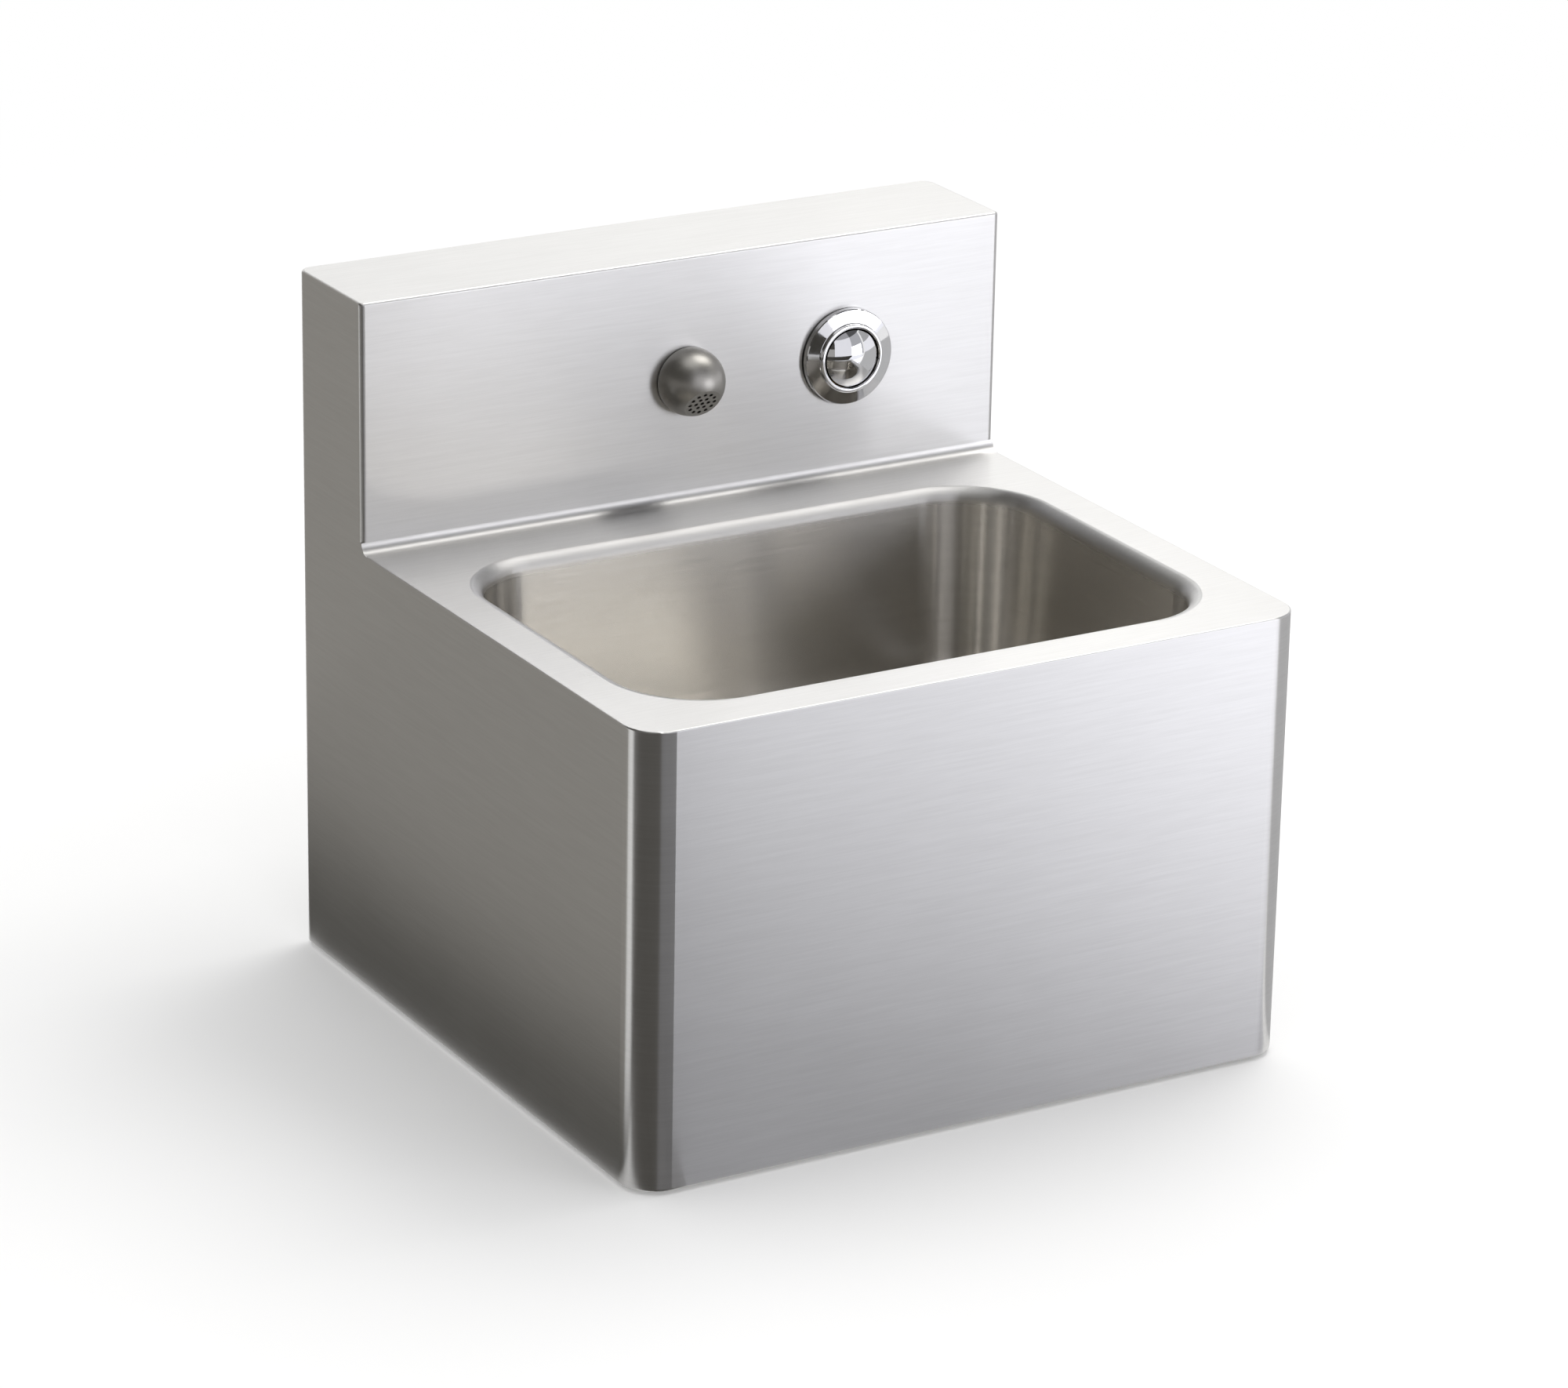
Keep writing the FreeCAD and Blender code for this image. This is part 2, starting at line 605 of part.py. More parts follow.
def waste_backnut():
    top = UNDER_Z - LOWER_SEAL_T
    nut = hex_bar(BACKNUT_AF, waste_axis(top - BACKNUT_T), waste_axis(top))
    return nut.cut(rod(WASTE_THREAD_R + THREAD_GAP, waste_axis(TAIL_Z), waste_axis(top)))


def trap_inlet_seal():
    return ring(WASTE_THREAD_R, WASTE_BORE_R, waste_axis(TRAP_COLLAR_Z), waste_axis(TAIL_Z))


def trap_inlet_nut():
    """Union nut that draws the trap's collar up to the waste tail."""
    lip = TRAP_COLLAR_Z - TRAP_COLLAR_T
    nut = hex_bar(INLET_NUT_AF, waste_axis(lip - INLET_NUT_LIP), waste_axis(TAIL_Z + INLET_NUT_GRIP))
    nut = nut.cut(rod(WASTE_THREAD_R + THREAD_GAP, waste_axis(lip), waste_axis(DECK_Z)))
    return nut.cut(rod(neck_radius() + HOLE_GAP, waste_axis(lip - INLET_NUT_LIP), waste_axis(DECK_Z)))


def neck_radius():
    return DIP_R + THREAD_GAP + TRAP_NECK_WALL


def trap_body():
    """Upper half of the bottle trap: collar, neck, chamber and side outlet."""
    lip = TRAP_COLLAR_Z - TRAP_COLLAR_T
    outer = [(0, CUP_RIM_Z), (TRAP_R, CUP_RIM_Z), (TRAP_R, TRAP_TOP_Z - TRAP_CEILING),
             (TRAP_R - TRAP_CEILING, TRAP_TOP_Z), (neck_radius(), TRAP_TOP_Z), (neck_radius(), lip),
             (WASTE_THREAD_R, lip), (WASTE_THREAD_R, TRAP_COLLAR_Z), (0, TRAP_COLLAR_Z)]
    body = lathe(outer, waste_axis(0), Z_AXIS)
    start = at(0, WASTE_Y, OUTLET_Z)
    mouth = at(0, outlet_mouth(), OUTLET_Z)
    body = body.fuse(rod(OUTLET_BOSS_R, start, mouth))
    chamber_r = TRAP_R - TRAP_WALL
    body = body.cut(rod(chamber_r, waste_axis(CUP_RIM_Z), waste_axis(TRAP_TOP_Z - TRAP_CEILING)))
    body = body.cut(rod(DIP_R + THREAD_GAP, waste_axis(CUP_RIM_Z), waste_axis(TRAP_COLLAR_Z)))
    body = body.cut(rod(OUTLET_R - OUTLET_WALL, start, mouth))
    return body.cut(rod(OUTLET_R + THREAD_GAP, at(0, outlet_mouth() - OUTLET_SOCKET, OUTLET_Z), mouth))


def outlet_mouth():
    return WASTE_Y + TRAP_R + OUTLET_BOSS


def trap_dip_tube():
    """Tube from the collar down into the cup, whose water closes its lower end."""
    low = TRAP_BOTTOM_Z + TRAP_WALL + DIP_GAP
    return ring(DIP_R, DIP_R - DIP_WALL, waste_axis(low), waste_axis(TRAP_COLLAR_Z))


def trap_cup():
    """Screw-on lower cup with a rounded bottom and a gripping rim."""
    rim_r = TRAP_R + TRAP_CUP_RIM
    cup = rod(rim_r, waste_axis(CUP_RIM_Z - TRAP_CUP_LAP), waste_axis(CUP_RIM_Z - TRAP_SEAL_T))
    shell = rod(TRAP_R, waste_axis(TRAP_BOTTOM_Z), waste_axis(CUP_RIM_Z - TRAP_CUP_LAP))
    shell = shell.makeFillet(TRAP_CUP_ROUND, edges_at(shell, TRAP_BOTTOM_Z))
    spigot_r = TRAP_R - TRAP_WALL - THREAD_GAP
    cup = cup.fuse(shell).fuse(rod(spigot_r, waste_axis(TRAP_BOTTOM_Z + TRAP_CUP_ROUND),
                                   waste_axis(CUP_RIM_Z + TRAP_CUP_LAP)))
    hollow = rod(spigot_r - TRAP_WALL, waste_axis(TRAP_BOTTOM_Z + TRAP_WALL), waste_axis(TRAP_TOP_Z))
    hollow = hollow.makeFillet(TRAP_CUP_ROUND - TRAP_WALL, edges_at(hollow, TRAP_BOTTOM_Z + TRAP_WALL))
    cup = cup.cut(hollow)
    flutes = []
    for k in range(TRAP_CUP_FLUTES):
        angle = 2.0 * math.pi * k / TRAP_CUP_FLUTES
        spot = at(math.cos(angle), math.sin(angle), 0) * (rim_r + TRAP_CUP_FLUTE_R - TRAP_CUP_FLUTE_DEPTH)
        flutes.append(rod(TRAP_CUP_FLUTE_R, waste_axis(-FAR) + spot, waste_axis(FAR) + spot))
    return cup.cut(group(flutes))


def trap_cup_seal():
    return ring(TRAP_R, TRAP_R - TRAP_WALL, waste_axis(CUP_RIM_Z - TRAP_SEAL_T), waste_axis(CUP_RIM_Z))


def outlet_at(y):
    return at(0, y, OUTLET_Z)


def outlet_seal():
    mouth = outlet_mouth()
    return ring(OUTLET_BOSS_R - THREAD_GAP, OUTLET_R + THREAD_GAP, outlet_at(mouth),
                outlet_at(mouth + OUTLET_SEAL_T))


def outlet_nut():
    mouth = outlet_mouth()
    far = mouth + OUTLET_SEAL_T
    nut = hex_bar(OUTLET_NUT_AF, outlet_at(mouth - OUTLET_NUT_GRIP), outlet_at(far + OUTLET_NUT_LIP))
    nut = nut.cut(rod(OUTLET_BOSS_R + THREAD_GAP, outlet_at(mouth - OUTLET_NUT_GRIP), outlet_at(far)))
    return nut.cut(rod(OUTLET_R + HOLE_GAP, outlet_at(mouth), outlet_at(0)))


def outlet_pipe():
    """Pipe from the trap to the wall, with a stop bead where the wall connection ends."""
    bead = outlet_at(-OUTLET_SETBACK - OUTLET_SPIGOT)
    start = outlet_at(outlet_mouth() - OUTLET_SOCKET)
    end = outlet_at(-OUTLET_SETBACK)
    pipe = rod(OUTLET_R, start, end).fuse(rod(OUTLET_R + OUTLET_BEAD_H, bead - Y_AXIS * OUTLET_BEAD, bead))
    return pipe.cut(rod(OUTLET_R - OUTLET_WALL, start, end))


def spout_at(y):
    return at(0, y, TAP_Z)


def facet_normal():
    tilt = math.radians(FACET_TILT)
    return at(0, -math.cos(tilt), -math.sin(tilt))


def spray_spots():
    """Centres of the spray holes on the facet: one, a ring round it and a ring of twice that radius."""
    tilt = math.radians(FACET_TILT)
    rising = at(0, -math.sin(tilt), math.cos(tilt))
    centre = spout_at(FACE_Y - SPOUT_STANDOFF) + facet_normal() * FACET_DISTANCE
    spots = [centre]
    for turn in (1, 2):
        for angle in ring_angles(turn, SPRAY_TURN):
            outwards = X_AXIS * math.cos(angle) + rising * math.sin(angle)
            spots.append(centre + outwards * SPRAY_PITCH * turn)
    return spots


def spout_head():
    """Hollow ball cut off at the wall, with a drilled facet looking down and forwards."""
    centre = spout_at(FACE_Y - SPOUT_STANDOFF)
    rear = FACE_Y - SPOUT_GASKET_T
    normal = facet_normal()
    ball = Part.makeSphere(SPOUT_R, centre).cut(block(-FAR, FAR, rear, FAR, -FAR, FAR))
    facet = centre + normal * FACET_DISTANCE
    ball = ball.cut(rod(SPOUT_R, facet, facet + normal * SPOUT_R))
    chamber = centre + normal * (FACET_DISTANCE - SPRAY_WALL - SPRAY_CHAMBER_R)
    ball = ball.cut(Part.makeSphere(SPRAY_CHAMBER_R, chamber))
    ball = ball.cut(rod(SHANK_R + THREAD_GAP, spout_at(rear - SHANK_ENTRY), spout_at(rear)))
    for spot in spray_spots():
        ball = ball.cut(rod(SPRAY_HOLE_R, spot - normal * SPRAY_CHAMBER_R, spot + normal))
    return ball


def spout_gasket():
    base_r = math.sqrt(SPOUT_R ** 2 - SPOUT_STANDOFF ** 2) - SPOUT_GASKET_INSET
    return ring(base_r, SHANK_R + HOLE_GAP, spout_at(FACE_Y - SPOUT_GASKET_T), spout_at(FACE_Y))


def shank_ends():
    front = FACE_Y - SPOUT_GASKET_T - SHANK_ENTRY
    return front, FACE_BACK_Y + SHANK_LENGTH


def spout_shank():
    front, rear = shank_ends()
    return ring(SHANK_R, SHANK_BORE_R, spout_at(front), spout_at(rear))


def flow_disc():
    rear = shank_ends()[1]
    disc = rod(SHANK_BORE_R - THREAD_GAP, spout_at(rear - FLOW_DISC_T), spout_at(rear))
    jets = []
    for angle in ring_angles(1, 0.0):
        spot = at(math.cos(angle), 0, math.sin(angle)) * FLOW_DISC_PITCH
        jets.append(rod(FLOW_DISC_HOLE_R, spout_at(rear - FLOW_DISC_T) + spot, spout_at(rear) + spot))
    return disc.cut(group(jets))


def spout_washer():
    return ring(SHANK_R + WASHER_BAND, SHANK_R + HOLE_GAP, spout_at(FACE_BACK_Y),
                spout_at(FACE_BACK_Y + WASHER_T))


def spout_locknut():
    start = FACE_BACK_Y + WASHER_T
    nut = hex_bar(SPOUT_NUT_AF, spout_at(start), spout_at(start + SPOUT_NUT_T))
    return nut.cut(rod(SHANK_R + THREAD_GAP, spout_at(start), spout_at(start + SPOUT_NUT_T)))


def spout_elbow():
    """Elbow screwed on the spout's shank, with an arm towards the valve."""
    front = FACE_BACK_Y + WASHER_T + SPOUT_NUT_T
    rear = LINK_Y + LINK_BOSS_R + ELBOW_WALL
    shank_rear = shank_ends()[1]
    elbow = rod(ELBOW_R, spout_at(front), spout_at(rear))
    elbow = elbow.fuse(rod(LINK_BOSS_R, spout_at(LINK_Y), at(elbow_mouth(), LINK_Y, TAP_Z)))
    elbow = elbow.cut(rod(SHANK_R + THREAD_GAP, spout_at(front), spout_at(shank_rear)))
    elbow = elbow.cut(rod(SHANK_BORE_R, spout_at(shank_rear), spout_at(rear - ELBOW_WALL)))
    elbow = elbow.cut(rod(LINK_R - LINK_WALL, spout_at(LINK_Y), at(elbow_mouth(), LINK_Y, TAP_Z)))
    socket = at(elbow_mouth() - LINK_SOCKET, LINK_Y, TAP_Z)
    return elbow.cut(rod(LINK_R + THREAD_GAP, socket, at(elbow_mouth(), LINK_Y, TAP_Z)))


def elbow_mouth():
    return ELBOW_R + LINK_BOSS


def valve_mouth():
    return BUTTON_OFFSET - VALVE_REAR_R - LINK_BOSS


def link_ends():
    """Each boss's mouth and the direction from it along the tube."""
    return ((elbow_mouth(), 1), (valve_mouth(), -1))


def link_tube():
    return ring(LINK_R, LINK_R - LINK_WALL, at(elbow_mouth() - LINK_SOCKET, LINK_Y, TAP_Z),
                at(valve_mouth() + LINK_SOCKET, LINK_Y, TAP_Z))


def link_nuts():
    nuts = []
    for mouth, way in link_ends():
        shoulder = mouth + way * OLIVE_T
        grip = at(mouth - way * LINK_NUT_GRIP, LINK_Y, TAP_Z)
        nose = at(shoulder + way * LINK_NUT_LIP, LINK_Y, TAP_Z)
        nut = hex_bar(LINK_NUT_AF, grip, nose)
        nut = nut.cut(rod(LINK_BOSS_R + THREAD_GAP, grip, at(shoulder, LINK_Y, TAP_Z)))
        nuts.append(nut.cut(rod(LINK_R + HOLE_GAP, grip, nose)))
    return group(nuts)


def link_olives():
    olives = []
    inner = LINK_R + THREAD_GAP
    for mouth, way in link_ends():
        crown = mouth + way * OLIVE_T / 2.0
        hips = [(inner, mouth), (inner + OLIVE_BAND / 2.0, mouth), (inner + OLIVE_BAND, crown),
                (inner + OLIVE_BAND / 2.0, mouth + way * OLIVE_T), (inner, mouth + way * OLIVE_T)]
        olives.append(lathe(hips, at(0, LINK_Y, TAP_Z), X_AXIS))
    return group(olives)


def valve_at(y):
    return at(BUTTON_OFFSET, y, TAP_Z)


# Stations of the valve along its axis, from the button back to the end cap
FLANGE_BACK_Y = FACE_Y - VALVE_GASKET_T
TUBE_FRONT_Y = FACE_Y - VALVE_TUBE_LEAD
CAP_EDGE_Y = FACE_Y - BUTTON_EDGE
SKIRT_END_Y = CAP_EDGE_Y + BUTTON_SKIRT
BULKHEAD_Y = SKIRT_END_Y + BUTTON_TRAVEL + VALVE_SKIRT_ROOM
CHAMBER_Y = BULKHEAD_Y + BULKHEAD_T
PISTON_Y = max(CHAMBER_Y, LINK_Y) + PISTON_PORT_ROOM
SPRING_Y = PISTON_Y + PISTON_T
PLUG_Y = SPRING_Y + SPRING_LENGTH
VALVE_END_Y = PLUG_Y + CAP_PLUG
INLET_Y = (SPRING_Y + PLUG_Y) / 2.0


def flange_gasket():
    return ring(FLANGE_R - VALVE_GASKET_INSET, VALVE_TUBE_R + HOLE_GAP, valve_at(FLANGE_BACK_Y),
                valve_at(FACE_Y))


def valve_flange():
    """Round cover flange with a thick rim and a shallow cone up to the bezel."""
    rim = FLANGE_BACK_Y - FLANGE_RIM
    bore = VALVE_TUBE_R + THREAD_GAP
    profile = [(bore, FLANGE_BACK_Y), (FLANGE_R, FLANGE_BACK_Y), (FLANGE_R, rim + FLANGE_EDGE),
               (FLANGE_R - FLANGE_EDGE, rim), (bore, rim - FLANGE_CONE)]
    return lathe(profile, valve_at(0), Y_AXIS)


def bezel_ring():
    """Polished ring on the front of the valve tube, rounded towards the user."""
    start = valve_at(TUBE_FRONT_Y - BEZEL_H)
    trim = ring(VALVE_TUBE_R, BEZEL_INNER_R, start, valve_at(TUBE_FRONT_Y))
    front = [e for e in trim.Edges if abs(e.BoundBox.YMin - start.y) < SAME
             and abs(e.BoundBox.YMax - start.y) < SAME]
    widest = (VALVE_TUBE_R - BEZEL_INNER_R) / 2.0 - SLIDE_GAP
    return trim.makeFillet(min(BEZEL_ROUND, widest), front)


def button_cap():
    """Domed push button with a skirt and an inner boss for its stem."""
    crown = CAP_EDGE_Y - BUTTON_RISE
    dome_r = cap_radius(BUTTON_R, BUTTON_RISE)
    full = rod(BUTTON_R, valve_at(crown), valve_at(SKIRT_END_Y))
    cap = full.common(Part.makeSphere(dome_r, valve_at(crown + dome_r)).fuse(
        rod(BUTTON_R, valve_at(CAP_EDGE_Y), valve_at(SKIRT_END_Y))))
    hollow = ring(BUTTON_R - BUTTON_WALL, BUTTON_BOSS_R, valve_at(CAP_EDGE_Y), valve_at(SKIRT_END_Y))
    cap = cap.cut(hollow)
    return cap.cut(rod(STEM_R + THREAD_GAP, valve_at(SKIRT_END_Y - STEM_ENTRY), valve_at(SKIRT_END_Y)))


def button_stem():
    return rod(STEM_R, valve_at(SKIRT_END_Y - STEM_ENTRY), valve_at(PISTON_Y + PISTON_T / 2.0))


def piston():
    """Disc on the stem, grooved for its seal."""
    disc_r = CHAMBER_R - PISTON_PLAY
    middle = PISTON_Y + PISTON_T / 2.0
    disc = rod(disc_r, valve_at(PISTON_Y), valve_at(SPRING_Y))
    groove_r = CHAMBER_R - SLIDE_GAP - SEAL_SECTION
    half = SEAL_SECTION / 2.0
    disc = disc.cut(ring(CHAMBER_R, groove_r, valve_at(middle - half), valve_at(middle + half)))
    return disc.cut(rod(STEM_R + THREAD_GAP, valve_at(PISTON_Y), valve_at(middle)))


def piston_seal():
    ring_r = SEAL_SECTION / 2.0
    centre = CHAMBER_R - SLIDE_GAP - ring_r
    return Part.makeTorus(centre, ring_r, valve_at(PISTON_Y + PISTON_T / 2.0), Y_AXIS)


def valve_body():
    """Brass body: threaded tube, stem guide, piston chamber, side outlet and threaded inlet."""
    body = rod(VALVE_TUBE_R, valve_at(TUBE_FRONT_Y), valve_at(CHAMBER_Y))
    body = body.fuse(rod(VALVE_REAR_R, valve_at(CHAMBER_Y), valve_at(VALVE_END_Y)))
    outlet = at(valve_mouth(), LINK_Y, TAP_Z)
    inlet_top = valve_at(INLET_Y)
    shoulder = inlet_top - Z_AXIS * (VALVE_REAR_R + INLET_SHOULDER)
    inlet_end = shoulder - Z_AXIS * INLET_LENGTH
    body = body.fuse(rod(LINK_BOSS_R, outlet, valve_at(LINK_Y)))
    body = body.fuse(rod(INLET_SHOULDER_R, shoulder, inlet_top))
    body = body.fuse(rod(INLET_R, inlet_end, inlet_top))
    body = body.cut(rod(VALVE_BORE_R, valve_at(TUBE_FRONT_Y), valve_at(BULKHEAD_Y)))
    body = body.cut(rod(STEM_R + SLIDE_GAP, valve_at(BULKHEAD_Y), valve_at(CHAMBER_Y)))
    body = body.cut(rod(CHAMBER_R, valve_at(CHAMBER_Y), valve_at(VALVE_END_Y)))
    body = body.cut(rod(LINK_R - LINK_WALL, outlet, valve_at(LINK_Y)))
    body = body.cut(rod(LINK_R + THREAD_GAP, outlet, outlet + X_AXIS * LINK_SOCKET))
    return body.cut(rod(INLET_BORE_R, inlet_end, inlet_top))


def valve_washer():
    return ring(VALVE_TUBE_R + WASHER_BAND, VALVE_TUBE_R + HOLE_GAP, valve_at(FACE_BACK_Y),
                valve_at(FACE_BACK_Y + WASHER_T))


def valve_locknut():
    start = FACE_BACK_Y + WASHER_T
    nut = hex_bar(VALVE_NUT_AF, valve_at(start), valve_at(start + VALVE_NUT_T))
    return nut.cut(rod(VALVE_TUBE_R + THREAD_GAP, valve_at(start), valve_at(start + VALVE_NUT_T)))


def end_cap():
    head = VALVE_END_Y + CAP_SEAL_T
    cap = rod(CHAMBER_R - THREAD_GAP, valve_at(PLUG_Y), valve_at(head))
    return cap.fuse(hex_bar(CAP_HEAD_AF, valve_at(head), valve_at(head + CAP_HEAD_T)))


def end_cap_seal():
    return ring(VALVE_REAR_R, CHAMBER_R, valve_at(VALVE_END_Y), valve_at(VALVE_END_Y + CAP_SEAL_T))


def half_arc(start, tangent, reach, end):
    """Arc from a point along its tangent to an end, where the two tangents meet at the given reach."""
    middle = (start + end) * 0.5
    corner = start + tangent * reach
    chord = (end - start).Length
    lean = math.acos(min(1.0, tangent.dot((end - start).normalize())))
    crown = middle + (corner - middle).normalize() * (chord / 2.0 * math.tan(lean / 2.0))
    return Part.Arc(start, crown, end).toShape()


def biarc(start, start_way, end, end_way):
    """Two tangent arcs between two points with given directions."""
    gap = end - start
    ways = start_way + end_way
    a = 4.0 - ways.dot(ways)
    b = 2.0 * gap.dot(ways)
    reach = (-b + math.sqrt(b * b + 4.0 * a * gap.dot(gap))) / (2.0 * a)
    joint = (start + start_way * reach + end - end_way * reach) * 0.5
    first = half_arc(start, start_way, reach, joint)
    second = half_arc(end, end_way * -1.0, reach, joint)
    return [first, second]


def return_spring():
    """Open coil between the piston and the end cap, one unbroken wire."""
    run = SPRING_LENGTH - SPRING_WIRE - 2 * SLIDE_GAP
    start_y = SPRING_Y + SPRING_WIRE / 2.0 + SLIDE_GAP
    quarter = math.pi / 2.0
    rise = run / (SPRING_TURNS * 2.0 * math.pi)

    def point(angle):
        return valve_at(start_y + rise * angle) + at(math.cos(angle), 0, math.sin(angle)) * SPRING_R

    def way(angle):
        return at(-SPRING_R * math.sin(angle), rise, SPRING_R * math.cos(angle)).normalize()

    edges = []
    for k in range(4 * SPRING_TURNS):
        begin = k * quarter
        end = begin + quarter
        edges += biarc(point(begin), way(begin), point(end), way(end))
    path = Part.Wire(edges)
    section = Part.Wire(Part.Circle(point(0), way(0), SPRING_WIRE / 2.0).toShape())
    coil = path.makePipeShell([section], True, False)
    print("return spring: least gap between turns", round(run / SPRING_TURNS - SPRING_WIRE, 2), "mm")
    return Part.Solid(coil) if coil.ShapeType == "Shell" else coil


PIECES = (
    apron, deck_plate, bowl, upstand_cover, wall_hanger, fixing_rail, access_panel, panel_tabs, panel_nuts,
    panel_screws, sound_pads, waste_body, strainer_plate, strainer_screw, waste_seal_upper,
    waste_seal_lower, waste_backnut, trap_inlet_seal, trap_inlet_nut, trap_body, trap_dip_tube, trap_cup,
    trap_cup_seal, outlet_seal, outlet_nut, outlet_pipe, spout_head, spout_gasket, spout_shank,
    flow_disc, spout_washer,
    spout_locknut, spout_elbow, link_tube, link_nuts, link_olives, flange_gasket, valve_flange, bezel_ring,
    button_cap, button_stem, piston, piston_seal, valve_body, valve_washer, valve_locknut, end_cap,
    end_cap_seal, return_spring,
)

os.makedirs("parts", exist_ok=True)
for piece in PIECES:
    piece().exportStep("parts/" + piece.__name__ + ".step")
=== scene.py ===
import json
import math

import bpy
from mathutils import Matrix, Vector


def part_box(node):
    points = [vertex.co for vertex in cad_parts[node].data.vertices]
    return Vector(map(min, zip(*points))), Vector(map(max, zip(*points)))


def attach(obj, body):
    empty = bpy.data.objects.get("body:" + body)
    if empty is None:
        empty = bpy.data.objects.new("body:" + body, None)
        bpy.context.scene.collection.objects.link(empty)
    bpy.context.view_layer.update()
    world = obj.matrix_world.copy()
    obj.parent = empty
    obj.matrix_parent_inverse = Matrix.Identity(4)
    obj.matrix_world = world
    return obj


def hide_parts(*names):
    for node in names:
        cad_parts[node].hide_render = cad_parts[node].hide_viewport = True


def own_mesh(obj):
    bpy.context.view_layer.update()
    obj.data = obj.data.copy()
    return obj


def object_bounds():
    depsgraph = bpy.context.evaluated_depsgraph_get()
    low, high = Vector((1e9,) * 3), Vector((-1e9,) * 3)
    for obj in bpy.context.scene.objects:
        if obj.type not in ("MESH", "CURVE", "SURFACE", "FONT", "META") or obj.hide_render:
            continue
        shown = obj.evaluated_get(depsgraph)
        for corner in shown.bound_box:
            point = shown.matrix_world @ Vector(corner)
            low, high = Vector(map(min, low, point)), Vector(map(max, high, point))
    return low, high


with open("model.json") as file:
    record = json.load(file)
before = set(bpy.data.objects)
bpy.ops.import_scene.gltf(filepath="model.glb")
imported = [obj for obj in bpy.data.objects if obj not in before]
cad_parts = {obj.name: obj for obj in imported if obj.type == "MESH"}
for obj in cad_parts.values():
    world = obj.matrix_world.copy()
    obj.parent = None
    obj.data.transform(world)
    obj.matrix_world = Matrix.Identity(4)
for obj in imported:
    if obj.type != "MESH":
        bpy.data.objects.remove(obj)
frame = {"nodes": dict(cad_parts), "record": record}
cad_low, cad_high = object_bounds()

# Sizes are in metres
MM = 0.001
GROUND_Z = cad_low.z
DECK_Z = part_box("deck_plate")[1].z

# The coil spring behind the piston
SPRING_RADIUS = 10.0 * MM
SPRING_TURNS = 4
SPRING_STEPS = 40
WIRE_RADIUS = 0.65 * MM
WIRE_SIDES = 16

# The viewpoint: direction, distance and focal length, for an image 2000 pixels wide and 1770 high
VIEW_AZIMUTH = math.radians(-30.461)
VIEW_ELEVATION = math.radians(20.380)
VIEW_ROLL = math.radians(1.053)
VIEW_DISTANCE = 3312.9 * MM
VIEW_TARGET = Vector((22.45, -150.0, -30.34)) * MM
FOCAL_PIXELS = 7660.5
IMAGE_WIDTH_PIXELS = 2000.0
SENSOR_WIDTH = 36.0

# Brushing: streaks to the metre along and across the grain, and the share of each kind in the mix
HAIR_GRAIN = (30.0, 5200.0)
STREAK_GRAIN = (14.0, 1500.0)
BAND_GRAIN = (32.0, 620.0)
SMUDGE_GRAIN = (16.0, 16.0, 22.0)
STREAK_SHARE = 0.4
BAND_SHARE = 0.45
SMUDGE_SHARE = 0.35
SHEET_ANISOTROPY = 0.95
BRUSH_STRENGTH = 0.03
BRUSH_DEPTH = 0.01 * MM
ACROSS_BACKWARD = 0.05
ACROSS_UPWARD = 1.0

# Skin of moulded pieces, and the uneven gloss of satin plating
SKIN_STRENGTH = 0.1
SKIN_DEPTH = 0.05 * MM
SATIN_MOTTLE = 0.08

# Stretches of noise over which a tone or a gloss goes from one end to the other
TONE_RANGE = (0.32, 0.68)
WEAR_RANGE = (0.3, 0.7)
CLOUD_RANGE = (0.25, 0.75)

# Upward share of a normal: a sheet is upright below the first and level above the second
LEVEL_RANGE = (0.4, 0.9)

# The deck's finish, which the bowl's lip takes on below the deck, duller where the lip still bends
DECK_PALE = (0.688, 0.683, 0.673, 1.0)
DECK_DARK = (0.642, 0.636, 0.625, 1.0)
DECK_ROUGH = 0.29
LIP_Z = DECK_Z - 3.0 * MM
LIP_BLEND = 7.0 * MM
LIP_BEND_ROUGH = 0.42
LIP_FLAT_RANGE = (0.93, 0.995)

# The drilled facet of the spout: how far it tilts down from straight ahead, and the edge of its finish
FACET_TILT = math.radians(35.0)
FACET_RANGE = (0.94, 0.97)

# The floor: its reach, where it turns white, its tone, and the height below which rays pass through it
FLOOR_REACH = 40.0
FLOOR_NEAR = 0.6
FLOOR_FAR = 2.0
FLOOR_TONE = 0.88
FLOOR_SKIN = 3.0 * MM

# Cards round the basin: their reach from where they start, and the heights of their walls above the floor
CARD_GAP = 0.3 * MM
CARD_STEP = math.radians(3.0)
CARD_REACH = 3.4
REAR_WALL = 0.3
LOW_WALL = 1.1
HIGH_WALL = 2.6
CEILING_NEAR = 0.9

# Points, as X and Y, that the cards spread from, close to the basin's front corners
FRONT_LEFT = (cad_low.x + 30.0 * MM, cad_low.y - 2.0 * MM)
FRONT_RIGHT = (cad_high.x + 5.0 * MM, cad_low.y + 20.0 * MM)
SIDE_LEFT = (cad_low.x - 5.0 * MM, cad_low.y + 30.0 * MM)

# Headings in degrees where one card gives way to the next, from the rear left round the front
CEILING_FIRST = -180.0
LEFT_FIRST = -179.0
LEFT_LAST = -121.0
CORNER_LAST = -103.0
FRONT_FIRST = -18.0
FRONT_LAST = 26.5
RIGHT_FIRST = 56.0
CEILING_LAST = 92.0
RIGHT_LAST = 125.0
REAR_LAST = 165.0

